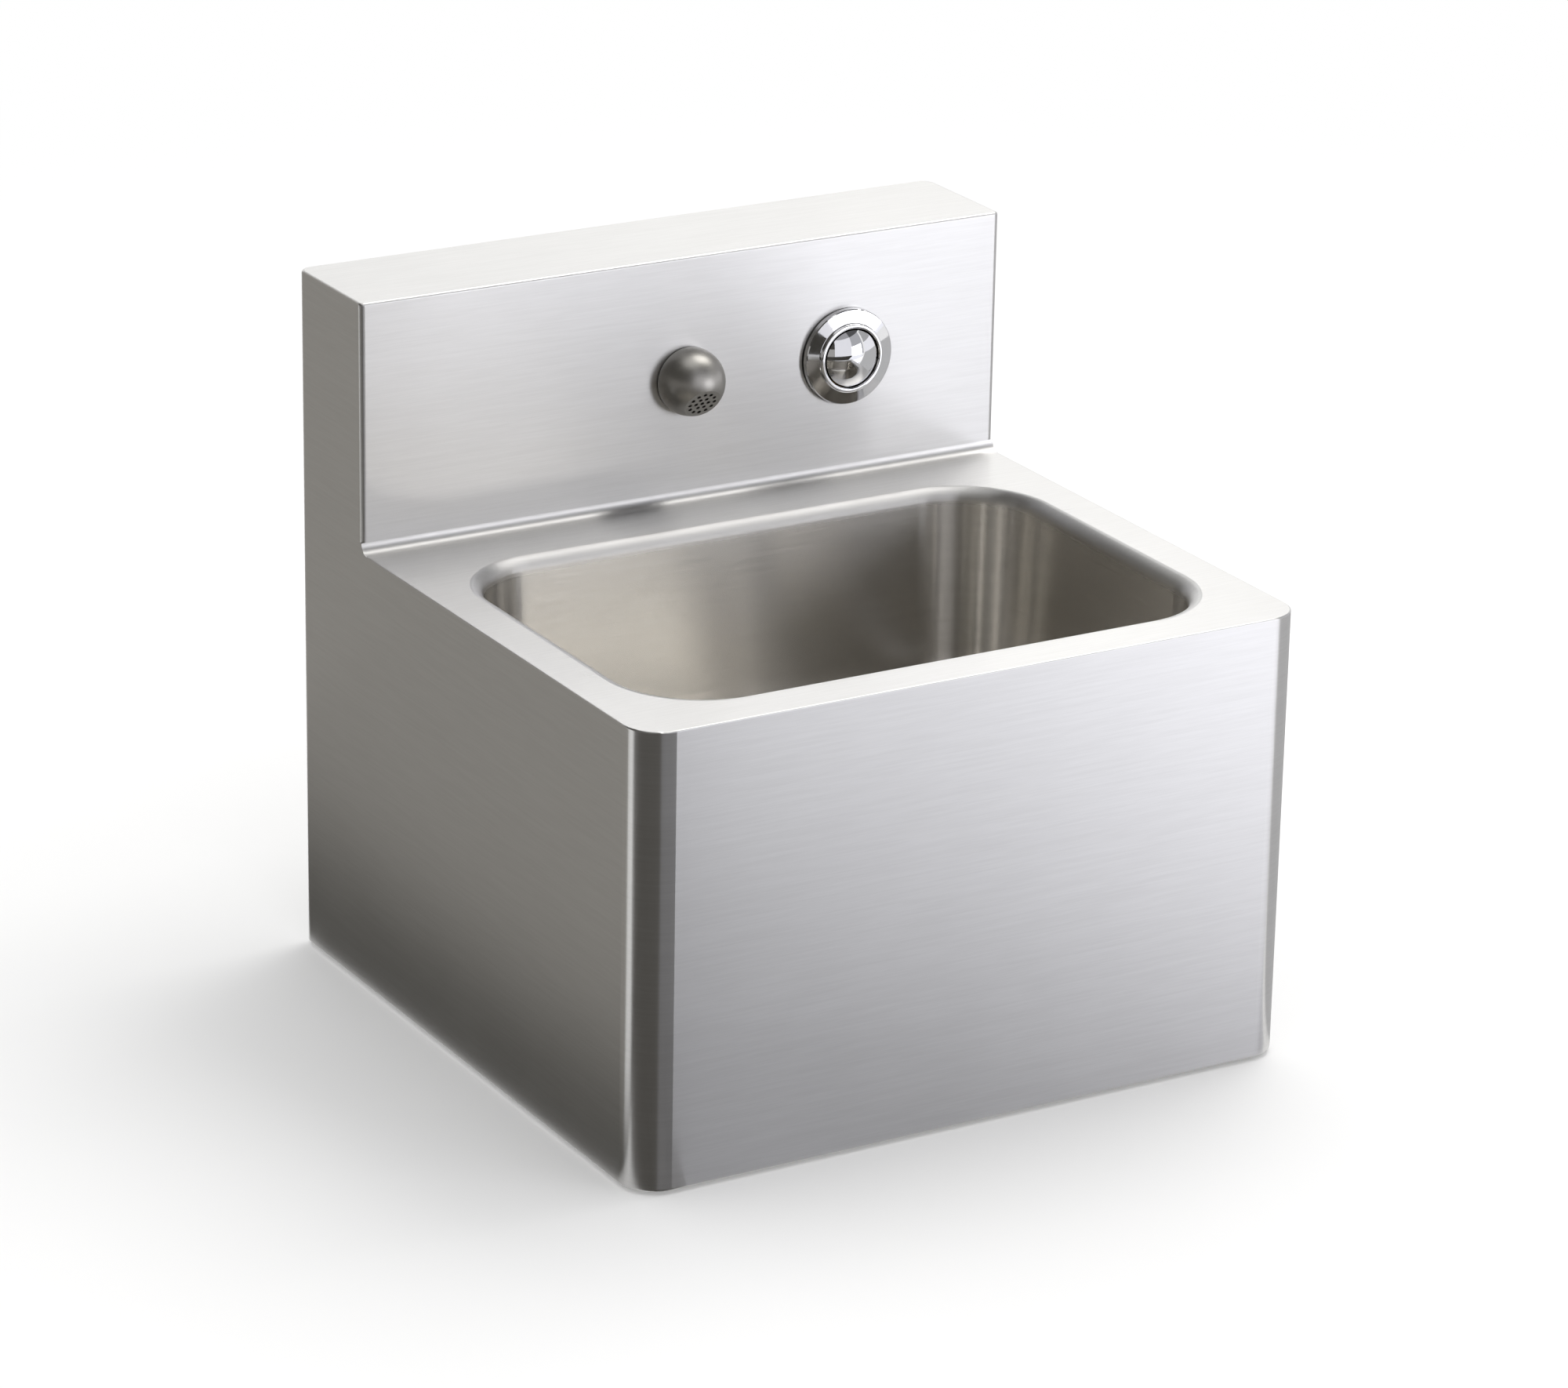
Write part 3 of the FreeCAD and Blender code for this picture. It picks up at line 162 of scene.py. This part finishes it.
# Cards on the floor close to the basin: their extent and, where they fade, the two ends of that along X
LEFT_NEAR_WIDTH = 85.0 * MM
LEFT_NEAR_REAR = 250.0 * MM
NEAR_RIGHT_X = 0.21
NEAR_FADE = (-0.05, 0.45)
TURN_LEFT = (-0.01, -0.75)
TURN_RIGHT = (0.72, -0.75)
MIDDLE_LEFT = (0.19, -1.2)
MIDDLE_RIGHT = (1.3, -1.2)
MIDDLE_FADE = (0.15, 0.65)

# Lamps, and the windows at the front right
LAMP_AIM = (0.0, -0.2, 0.0)
WINDOW_REACH = 2.6
WINDOW_LOW = -0.15
WINDOW_HIGH = 0.75
WINDOW_COLOR = (0.945, 0.95, 1.0)

# The mix node's kind, the places of its factor and two inputs, and of its result
MIX_NUMBERS = ("FLOAT", (0, 2, 3), 0)
MIX_COLORS = ("RGBA", (0, 6, 7), 2)


def heading(azimuth):
    """Level direction at an angle from straight ahead of the basin, positive to its right."""
    return Vector((math.sin(azimuth), -math.cos(azimuth), 0.0))


def make_camera():
    out = heading(VIEW_AZIMUTH) * math.cos(VIEW_ELEVATION) + Vector((0, 0, math.sin(VIEW_ELEVATION)))
    side = (-out).cross(Vector((0, 0, 1))).normalized()
    above = side.cross(-out)
    right = side * math.cos(VIEW_ROLL) + above * math.sin(VIEW_ROLL)
    up = above * math.cos(VIEW_ROLL) - side * math.sin(VIEW_ROLL)
    place = VIEW_TARGET + out * VIEW_DISTANCE
    data = bpy.data.cameras.new("camera")
    data.sensor_width = SENSOR_WIDTH
    data.lens = FOCAL_PIXELS / IMAGE_WIDTH_PIXELS * SENSOR_WIDTH
    camera = bpy.data.objects.new("camera", data)
    bpy.context.collection.objects.link(camera)
    camera.matrix_world = Matrix.LocRotScale(place, Matrix((right, up, out)).transposed(), None)
    bpy.context.scene.camera = camera


class Shader:
    """A node tree that is being put together."""

    def __init__(self, tree):
        self.tree = tree
        tree.nodes.clear()

    def node(self, kind, **settings):
        made = self.tree.nodes.new("ShaderNode" + kind)
        for name, value in settings.items():
            setattr(made, name, value)
        return made

    def link(self, source, target):
        self.tree.links.new(source, target)

    def feed(self, target, value):
        """Put a number, colour or vector on a socket, or link another socket to it."""
        if isinstance(value, bpy.types.NodeSocket):
            self.link(value, target)
        else:
            target.default_value = value

    def finish(self, surface, output="OutputMaterial"):
        """Link a surface node to the tree's output."""
        self.link(surface.outputs[0], self.node(output).inputs["Surface"])

    def spot(self):
        """Place on the piece, in its own coordinates."""
        return self.node("TexCoord").outputs["Object"]

    def normal(self):
        return self.node("NewGeometry").outputs["Normal"]

    def part(self, vector, axis):
        """The part of a vector along one axis."""
        made = self.node("SeparateXYZ")
        self.link(vector, made.inputs[0])
        return made.outputs[axis]

    def math(self, operation, first, second=0.0, third=0.0):
        made = self.node("Math", operation=operation)
        for socket, value in zip(made.inputs, (first, second, third)):
            self.feed(socket, value)
        return made.outputs[0]

    def compare(self, operation, first, second):
        """Number worked out from a vector that varies and one that doesn't."""
        made = self.node("VectorMath", operation=operation)
        self.link(first, made.inputs[0])
        made.inputs[1].default_value = second
        return made.outputs["Value"]

    def span(self, value, low, high, to_low, to_high):
        """The value carried smoothly from one range to another, held at the ends."""
        made = self.node("MapRange", interpolation_type="SMOOTHSTEP")
        for name, item in zip(("Value", "From Min", "From Max", "To Min", "To Max"),
                              (value, low, high, to_low, to_high)):
            self.feed(made.inputs[name], item)
        return made.outputs[0]

    def noise(self, vector, scale, detail=3.0, roughness=0.5):
        """Noise stretched by three scales, one for each axis."""
        mapping = self.node("Mapping")
        self.link(vector, mapping.inputs["Vector"])
        mapping.inputs["Scale"].default_value = scale
        made = self.node("TexNoise")
        self.link(mapping.outputs[0], made.inputs["Vector"])
        made.inputs["Scale"].default_value = 1.0
        made.inputs["Detail"].default_value = detail
        made.inputs["Roughness"].default_value = roughness
        return made.outputs["Fac"]

    def mix(self, kind, factor, first, second):
        data_type, places, result = kind
        made = self.node("Mix", data_type=data_type)
        for place, value in zip(places, (factor, first, second)):
            self.feed(made.inputs[place], value)
        return made.outputs[result]

    def blend(self, factor, first, second):
        """Mix of two numbers."""
        return self.mix(MIX_NUMBERS, factor, first, second)

    def tint(self, factor, first, second):
        """Mix of two colours."""
        return self.mix(MIX_COLORS, factor, first, second)

    def layer(self, factor, first, second):
        """Mix of two surface nodes."""
        made = self.node("MixShader")
        for socket, source in zip(made.inputs, (factor, first.outputs[0], second.outputs[0])):
            self.link(source, socket)
        return made

    def bump(self, height, strength, depth):
        """Normal of a surface with a fine relief."""
        made = self.node("Bump")
        made.inputs["Strength"].default_value = strength
        made.inputs["Distance"].default_value = depth
        self.link(height, made.inputs["Height"])
        return made.outputs[0]


def rgb(red, green, blue):
    return (red, green, blue, 1.0)


def new_material(name):
    material = bpy.data.materials.new(name)
    material.use_nodes = True
    return material, Shader(material.node_tree)


def principled(shader, **values):
    """Principled surface linked to the output; underscores in names stand for spaces."""
    surface = shader.node("BsdfPrincipled")
    for name, value in values.items():
        shader.feed(surface.inputs[name.replace("_", " ")], value)
    shader.finish(surface)


def brush_grain(shader, spot, grain):
    """Streaks that run level round upright faces and along X over level faces."""
    along, across = grain
    upward = shader.math("ABSOLUTE", shader.part(shader.normal(), "Z"))
    level = shader.span(upward, *LEVEL_RANGE, 0.0, 1.0)
    upright = shader.noise(spot, (along, along, across))
    flat = shader.noise(spot, (along, across, along))
    return shader.blend(level, upright, flat)


def grain_across(shader):
    """Direction across the brushing: upright on the walls, front to back on level faces."""
    across = shader.node("CombineXYZ")
    across.inputs["Y"].default_value = ACROSS_BACKWARD
    across.inputs["Z"].default_value = ACROSS_UPWARD
    return across.outputs[0]


def lip_finish(shader, spot, light, color, rough):
    """Tone and gloss that change to the deck's on the bowl's lip, which is duller where it bends."""
    above = shader.span(shader.part(spot, "Z"), LIP_Z - LIP_BLEND, LIP_Z, 0.0, 1.0)
    upward = shader.part(shader.normal(), "Z")
    lip_color = shader.tint(light, DECK_DARK, DECK_PALE)
    lip_rough = shader.span(upward, *LIP_FLAT_RANGE, LIP_BEND_ROUGH, DECK_ROUGH)
    return shader.tint(above, color, lip_color), shader.blend(above, rough, lip_rough)


def brushed_metal(name, pale, dark, rough, spread, anisotropy, has_lip=False):
    """Sheet with level brushing: fine streaks and faint smudges vary its tone, gloss and surface."""
    material, shader = new_material(name)
    spot = shader.spot()
    hair = brush_grain(shader, spot, HAIR_GRAIN)
    streak = brush_grain(shader, spot, STREAK_GRAIN)
    band = brush_grain(shader, spot, BAND_GRAIN)
    smudge = shader.noise(spot, SMUDGE_GRAIN, detail=4.0, roughness=0.55)
    grain = shader.blend(STREAK_SHARE, hair, streak)
    light = shader.span(shader.blend(BAND_SHARE, grain, band), *TONE_RANGE, 0.0, 1.0)
    color = shader.tint(light, dark, pale)
    if has_lip:
        color, rough = lip_finish(shader, spot, light, color, rough)
    wear = shader.span(shader.blend(SMUDGE_SHARE, grain, smudge), *WEAR_RANGE, -spread, spread)
    principled(shader, Base_Color=color, Metallic=1.0, Roughness=shader.math("ADD", wear, rough),
               Anisotropic=anisotropy, Tangent=grain_across(shader),
               Normal=shader.bump(grain, BRUSH_STRENGTH, BRUSH_DEPTH))
    return material


def plain_metal(name, pale, dark, rough, spread, grain):
    """Turned, cast or plated metal with fine uneven gloss."""
    material, shader = new_material(name)
    cloud = shader.noise(shader.spot(), (grain, grain, grain), detail=4.0)
    principled(shader, Base_Color=shader.tint(cloud, dark, pale), Metallic=1.0,
               Roughness=shader.span(cloud, *CLOUD_RANGE, rough - spread, rough + spread))
    return material


def satin_ball(name, pale, dark, rough, facet_rough, grain):
    """Satin plated metal, duller on the drilled facet."""
    material, shader = new_material(name)
    cloud = shader.noise(shader.spot(), (grain, grain, grain), detail=4.0)
    facet_normal = (0.0, -math.cos(FACET_TILT), -math.sin(FACET_TILT))
    facing = shader.compare("DOT_PRODUCT", shader.normal(), facet_normal)
    finish = shader.span(facing, *FACET_RANGE, rough, facet_rough)
    principled(shader, Base_Color=shader.tint(cloud, dark, pale), Metallic=1.0,
               Roughness=shader.math("MULTIPLY_ADD", cloud, SATIN_MOTTLE, finish))
    return material


def moulded(name, pale, dark, rough, spread, grain):
    """Plastic or rubber with a faint mottle and a moulded skin."""
    material, shader = new_material(name)
    cloud = shader.noise(shader.spot(), (grain, grain, grain), detail=5.0, roughness=0.6)
    principled(shader, Base_Color=shader.tint(cloud, dark, pale),
               Roughness=shader.span(cloud, *CLOUD_RANGE, rough - spread, rough + spread),
               Normal=shader.bump(cloud, SKIN_STRENGTH, SKIN_DEPTH))
    return material


def make_materials():
    """One material for each slot of the record."""
    recipes = {
        "brushed_steel": (brushed_metal, dict(
            pale=DECK_PALE, dark=DECK_DARK,
            rough=DECK_ROUGH, spread=0.015, anisotropy=SHEET_ANISOTROPY)),
        "mill_steel": (brushed_metal, dict(
            pale=rgb(0.60, 0.60, 0.59), dark=rgb(0.52, 0.52, 0.51),
            rough=0.42, spread=0.05, anisotropy=0.3)),
        "fastener_steel": (plain_metal, dict(
            pale=rgb(0.66, 0.66, 0.65), dark=rgb(0.56, 0.56, 0.55),
            rough=0.24, spread=0.05, grain=900.0)),
        "waste_steel": (plain_metal, dict(
            pale=rgb(0.72, 0.715, 0.70), dark=rgb(0.64, 0.635, 0.62),
            rough=0.16, spread=0.04, grain=500.0)),
        "satin_nickel": (satin_ball, dict(
            pale=rgb(0.44, 0.427, 0.40), dark=rgb(0.385, 0.373, 0.349),
            rough=0.34, facet_rough=0.62, grain=1400.0)),
        "chrome": (plain_metal, dict(
            pale=rgb(0.80, 0.80, 0.81), dark=rgb(0.76, 0.76, 0.77),
            rough=0.045, spread=0.015, grain=300.0)),
        "brass": (plain_metal, dict(
            pale=rgb(0.76, 0.60, 0.33), dark=rgb(0.66, 0.50, 0.26),
            rough=0.28, spread=0.06, grain=700.0)),
        "copper": (plain_metal, dict(
            pale=rgb(0.80, 0.48, 0.34), dark=rgb(0.68, 0.38, 0.26),
            rough=0.26, spread=0.06, grain=400.0)),
        "seal_rubber": (moulded, dict(
            pale=rgb(0.045, 0.045, 0.045), dark=rgb(0.028, 0.028, 0.028),
            rough=0.6, spread=0.08, grain=1500.0)),
        "pad_rubber": (moulded, dict(
            pale=rgb(0.11, 0.108, 0.10), dark=rgb(0.07, 0.07, 0.066),
            rough=0.8, spread=0.06, grain=900.0)),
        "trap_plastic": (moulded, dict(
            pale=rgb(0.84, 0.84, 0.82), dark=rgb(0.78, 0.78, 0.76),
            rough=0.38, spread=0.06, grain=250.0)),
        "valve_plastic": (moulded, dict(
            pale=rgb(0.78, 0.77, 0.71), dark=rgb(0.70, 0.69, 0.63),
            rough=0.4, spread=0.06, grain=400.0)),
    }
    return {name: make(name, **values) for name, (make, values) in recipes.items()}


def make_bowl_steel_painted_pale():
    """The bowl's satin sheet, a little warmer than the panels and painted paler than them to stand in for
    more light inside the bowl, with the deck's finish on its lip.
    """
    return brushed_metal("bowl_steel_painted_pale", pale=rgb(0.765, 0.745, 0.708), dark=rgb(0.685, 0.665, 0.63),
                         rough=0.25, spread=0.02, anisotropy=SHEET_ANISOTROPY, has_lip=True)


def make_spring(material):
    """Coil spring that takes the place of the return spring part, within that part's bounds."""
    low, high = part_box("return_spring")
    axis_x = (low.x + high.x) / 2.0
    axis_z = (low.z + high.z) / 2.0
    rise = (high.y - low.y - 2.0 * WIRE_RADIUS) / (math.tau * SPRING_TURNS)
    rings = SPRING_TURNS * SPRING_STEPS
    points = []
    for k in range(rings + 1):
        turn = math.tau * k / SPRING_STEPS
        outward = Vector((math.cos(turn), 0.0, math.sin(turn)))
        along = Vector((-SPRING_RADIUS * outward.z, rise, SPRING_RADIUS * outward.x)).normalized()
        side = along.cross(outward)
        middle = Vector((axis_x, low.y + WIRE_RADIUS + rise * turn, axis_z)) + outward * SPRING_RADIUS
        for j in range(WIRE_SIDES):
            angle = math.tau * j / WIRE_SIDES
            points.append(middle + (outward * math.cos(angle) + side * math.sin(angle)) * WIRE_RADIUS)
    faces = [tuple(reversed(range(WIRE_SIDES)))]
    for k in range(rings):
        here = k * WIRE_SIDES
        after = here + WIRE_SIDES
        for j in range(WIRE_SIDES):
            n = (j + 1) % WIRE_SIDES
            faces.append((here + j, here + n, after + n, after + j))
    faces.append(tuple(rings * WIRE_SIDES + j for j in range(WIRE_SIDES)))
    mesh = bpy.data.meshes.new("coil_spring")
    mesh.from_pydata(points, [], faces)
    for face in mesh.polygons:
        face.use_smooth = len(face.vertices) < WIRE_SIDES
    mesh.materials.append(material)
    spring = bpy.data.objects.new("coil_spring", mesh)
    bpy.context.collection.objects.link(spring)
    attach(spring, "basin")
    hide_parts("return_spring")
    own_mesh(spring)


def stage_mesh(name, points, faces, material):
    mesh = bpy.data.meshes.new(name)
    mesh.from_pydata(points, [], faces)
    mesh.materials.append(material)
    piece = bpy.data.objects.new(name, mesh)
    bpy.context.collection.objects.link(piece)
    return piece


def level_sheet(name, corners, z, material):
    """Flat piece of the stage with four corners at one height."""
    return stage_mesh(name, [(x, y, z) for x, y in corners], [(0, 1, 2, 3)], material)


def seen_white(shader):
    """1 for rays that come straight from the camera, off metal or through glass."""
    path = shader.node("LightPath")
    seen = shader.math("MAXIMUM", path.outputs["Is Camera Ray"], path.outputs["Is Glossy Ray"])
    return shader.math("MAXIMUM", seen, path.outputs["Is Transmission Ray"])


def floor_material():
    """Pale floor that shows the shadow near the basin and is plain white further off.

    From below it is clear, and so it is to rays that start right above it, which lights the underside.
    """
    material, shader = new_material("floor")
    geometry = shader.node("NewGeometry")
    middle = (cad_low + cad_high) / 2.0
    away = shader.compare("DISTANCE", geometry.outputs["Position"], (middle.x, middle.y, GROUND_Z))
    far = shader.span(away, FLOOR_NEAR, FLOOR_FAR, 0.0, 1.0)
    pale = shader.node("BsdfDiffuse")
    pale.inputs["Color"].default_value = rgb(FLOOR_TONE, FLOOR_TONE, FLOOR_TONE)
    white = shader.node("Emission")
    ground = shader.layer(shader.math("MULTIPLY", far, seen_white(shader)), pale, white)
    short = shader.math("LESS_THAN", shader.node("LightPath").outputs["Ray Length"], FLOOR_SKIN)
    passed = shader.math("MAXIMUM", geometry.outputs["Backfacing"], short)
    shader.finish(shader.layer(passed, ground, shader.node("BsdfTransparent")))
    return material


def make_floor():
    reach = FLOOR_REACH
    corners = [(-reach, -reach), (reach, -reach), (reach, reach), (-reach, reach)]
    level_sheet("floor", corners, GROUND_Z, floor_material())


def make_world():
    world = bpy.data.worlds.new("studio")
    bpy.context.scene.world = world
    world.use_nodes = True
    shader = Shader(world.node_tree)
    sky = shader.node("Background")
    sky.inputs["Color"].default_value = rgb(1.0, 1.0, 1.0)
    sky.inputs["Strength"].default_value = 1.0
    shader.finish(sky, "OutputWorld")


def glow(shader, tone):
    """Light of a tone, which is a colour or a socket."""
    light = shader.node("Emission")
    shader.feed(light.inputs["Color"], tone)
    shader.finish(light)


def even_glow(name, tone):
    material, shader = new_material(name)
    glow(shader, tone)
    return material


def fading_glow(name, fade, left, right):
    """Light that changes from the left tone to the right one between two places along X."""
    material, shader = new_material(name)
    across = shader.span(shader.part(shader.spot(), "X"), *fade, 0.0, 1.0)
    glow(shader, shader.tint(across, left, right))
    return material


def only_in_metal(card):
    """Hide a card from everything but reflections."""
    card.visible_camera = False
    card.visible_diffuse = False
    card.visible_shadow = False
    card.visible_transmission = False


def sector_card(name, apex, first_deg, last_deg, near, far, tone):
    """Card between two headings from a point; its near and far edges are each a reach and a height."""
    first = math.radians(first_deg)
    last = math.radians(last_deg)
    steps = round((last - first) / CARD_STEP)
    base = Vector((*apex, GROUND_Z + CARD_GAP))
    points = []
    for k in range(steps + 1):
        way = heading(first + (last - first) * k / steps)
        points += [base + way * reach + Vector((0, 0, height)) for reach, height in (near, far)]
    faces = [(2 * k, 2 * k + 1, 2 * k + 3, 2 * k + 2) for k in range(steps)]
    only_in_metal(stage_mesh(name, points, faces, even_glow(name, tone)))


def make_card(name, apex, first_deg, last_deg, floor, walls):
    """Sector along the floor that turns up at its far edge; each stretch of wall has a top and a tone."""
    sector_card(name + "_floor", apex, first_deg, last_deg, (CARD_GAP, 0.0), (CARD_REACH, 0.0), floor)
    foot = 0.0
    for k, (top, tone) in enumerate(walls):
        sector_card(name + "_wall_%d" % k, apex, first_deg, last_deg,
                    (CARD_REACH, foot), (CARD_REACH, top), tone)
        foot = top


def ceiling_card(name, first_deg, last_deg, tone):
    """Sector at the top of the walls, which leaves the middle open."""
    sector_card(name, FRONT_LEFT, first_deg, last_deg,
                (CEILING_NEAR, HIGH_WALL), (CARD_REACH, HIGH_WALL), tone)


def near_card(name, corners, material):
    """Card just above the others on the floor."""
    only_in_metal(level_sheet(name, corners, GROUND_Z + 2.0 * CARD_GAP, material))


def make_lamp(name, place, aim, width, height, radiance, color):
    """Soft box of an even brightness."""
    data = bpy.data.lights.new(name, "AREA")
    data.shape = "RECTANGLE"
    data.size = width
    data.size_y = height
    data.energy = radiance * math.pi * width * height
    data.color = color
    lamp = bpy.data.objects.new(name, data)
    bpy.context.collection.objects.link(lamp)
    lamp.location = place
    lamp.rotation_euler = (Vector(aim) - Vector(place)).to_track_quat("-Z", "Y").to_euler()


def make_window(name, first_deg, last_deg, radiance):
    """Upright soft box that fills the view from the front left between two headings."""
    first = heading(math.radians(first_deg)) * WINDOW_REACH
    last = heading(math.radians(last_deg)) * WINDOW_REACH
    foot = Vector((*FRONT_LEFT, (WINDOW_LOW + WINDOW_HIGH) / 2.0))
    make_lamp(name, foot + (first + last) / 2.0, foot, (last - first).length, WINDOW_HIGH - WINDOW_LOW,
              radiance, WINDOW_COLOR)


def make_cards():
    """Walls, floor and ceiling that the metal shows, light and dark round the basin."""
    dim = rgb(0.06, 0.057, 0.052)
    rear = rgb(0.36, 0.36, 0.36)
    make_card("card_front", FRONT_LEFT, FRONT_FIRST, FRONT_LAST, floor=rgb(0.05, 0.047, 0.042),
              walls=[(HIGH_WALL, rgb(0.92, 0.92, 0.97))])
    make_card("card_front_left", FRONT_LEFT, CORNER_LAST, FRONT_FIRST, floor=rgb(0.06, 0.056, 0.05),
              walls=[(LOW_WALL, rgb(0.40, 0.39, 0.38)), (HIGH_WALL, dim)])
    sector_card("card_corner", FRONT_LEFT, LEFT_LAST, CORNER_LAST,
                (CARD_REACH, LOW_WALL), (CARD_REACH, HIGH_WALL), dim)
    make_card("card_left", SIDE_LEFT, LEFT_FIRST, LEFT_LAST, floor=rgb(0.33, 0.318, 0.297),
              walls=[(HIGH_WALL, rgb(0.35, 0.337, 0.315))])
    make_card("card_right", FRONT_RIGHT, RIGHT_FIRST, RIGHT_LAST, floor=rgb(0.54, 0.54, 0.545),
              walls=[(LOW_WALL, rgb(1.0, 1.0, 1.05)), (HIGH_WALL, rgb(0.45, 0.45, 0.46))])
    make_card("card_right_back", FRONT_RIGHT, RIGHT_LAST, REAR_LAST, floor=rear, walls=[(REAR_WALL, rear)])
    make_card("card_high", FRONT_LEFT, FRONT_LAST, RIGHT_FIRST, floor=rgb(1.1, 1.11, 1.18),
              walls=[(HIGH_WALL, rgb(0.48, 0.484, 0.51))])
    ceiling_card("card_above", CEILING_FIRST, FRONT_FIRST, rgb(0.10, 0.096, 0.088))
    ceiling_card("card_above_front", FRONT_FIRST, FRONT_LAST, rgb(0.38, 0.38, 0.40))
    ceiling_card("card_above_right", FRONT_LAST, CEILING_LAST, rgb(0.10, 0.10, 0.104))


def make_near_cards():
    """Cards at the basin's foot, dark along its left side and paler to the right along its front, seen
    only in the metal: painted shade of the floor beside the basin and a painted pool of light on the floor
    further to the front right.
    """
    inner_x, front_y = SIDE_LEFT
    outer_x = inner_x - LEFT_NEAR_WIDTH
    rear_y = cad_high.y + LEFT_NEAR_REAR
    # Painted shade of the floor beside the basin's left side.
    near_card("card_left_near",
              [(outer_x, front_y), (inner_x, front_y), (inner_x, rear_y), (outer_x, rear_y)],
              even_glow("card_left_near", rgb(0.07, 0.068, 0.063)))
    # Painted pool of light on the floor out to the front right.
    near_card("card_right_middle", [TURN_LEFT, TURN_RIGHT, MIDDLE_RIGHT, MIDDLE_LEFT],
              fading_glow("card_right_middle", MIDDLE_FADE,
                          left=rgb(0.56, 0.565, 0.60), right=rgb(1.73, 1.74, 1.85)))
    # Painted shade of the floor in front of the basin, lighter to the right.
    near_card("card_right_near", [FRONT_LEFT, (NEAR_RIGHT_X, FRONT_LEFT[1]), TURN_RIGHT, TURN_LEFT],
              fading_glow("card_right_near", NEAR_FADE,
                          left=rgb(0.205, 0.206, 0.218), right=rgb(0.87, 0.872, 0.93)))


def make_lights():
    make_window("window_edge", first_deg=27.0, last_deg=30.0, radiance=4.0)
    make_window("window_left", first_deg=30.0, last_deg=37.0, radiance=2.2)
    make_window("window_right", first_deg=37.0, last_deg=54.0, radiance=2.6)
    make_lamp("lamp_back", place=(1.317, 1.375, 1.411), aim=LAMP_AIM, width=1.8, height=1.6,
              radiance=0.12, color=(0.94, 0.98, 1.0))
    make_lamp("lamp_high", place=(1.14, 0.11, 2.13), aim=LAMP_AIM, width=1.6, height=1.4,
              radiance=2.8, color=(1.0, 0.985, 0.96))


make_camera()
make_world()
make_floor()
make_cards()
make_near_cards()
make_lights()
materials = make_materials()
# The bowl gets a paler copy of the sheet steel: painted light inside the bowl.
bowl_steel_painted_pale = make_bowl_steel_painted_pale()
for entry in frame["record"]["subparts"]:
    node = frame["nodes"][entry["node"]]
    slot = entry["material_slot"]
    node.data.materials.clear()
    node.data.materials.append(bowl_steel_painted_pale if entry["node"] == "bowl" else materials[slot])
    if entry["node"] == "return_spring":
        make_spring(materials[slot])

bpy.context.scene.view_settings.view_transform = "Standard"
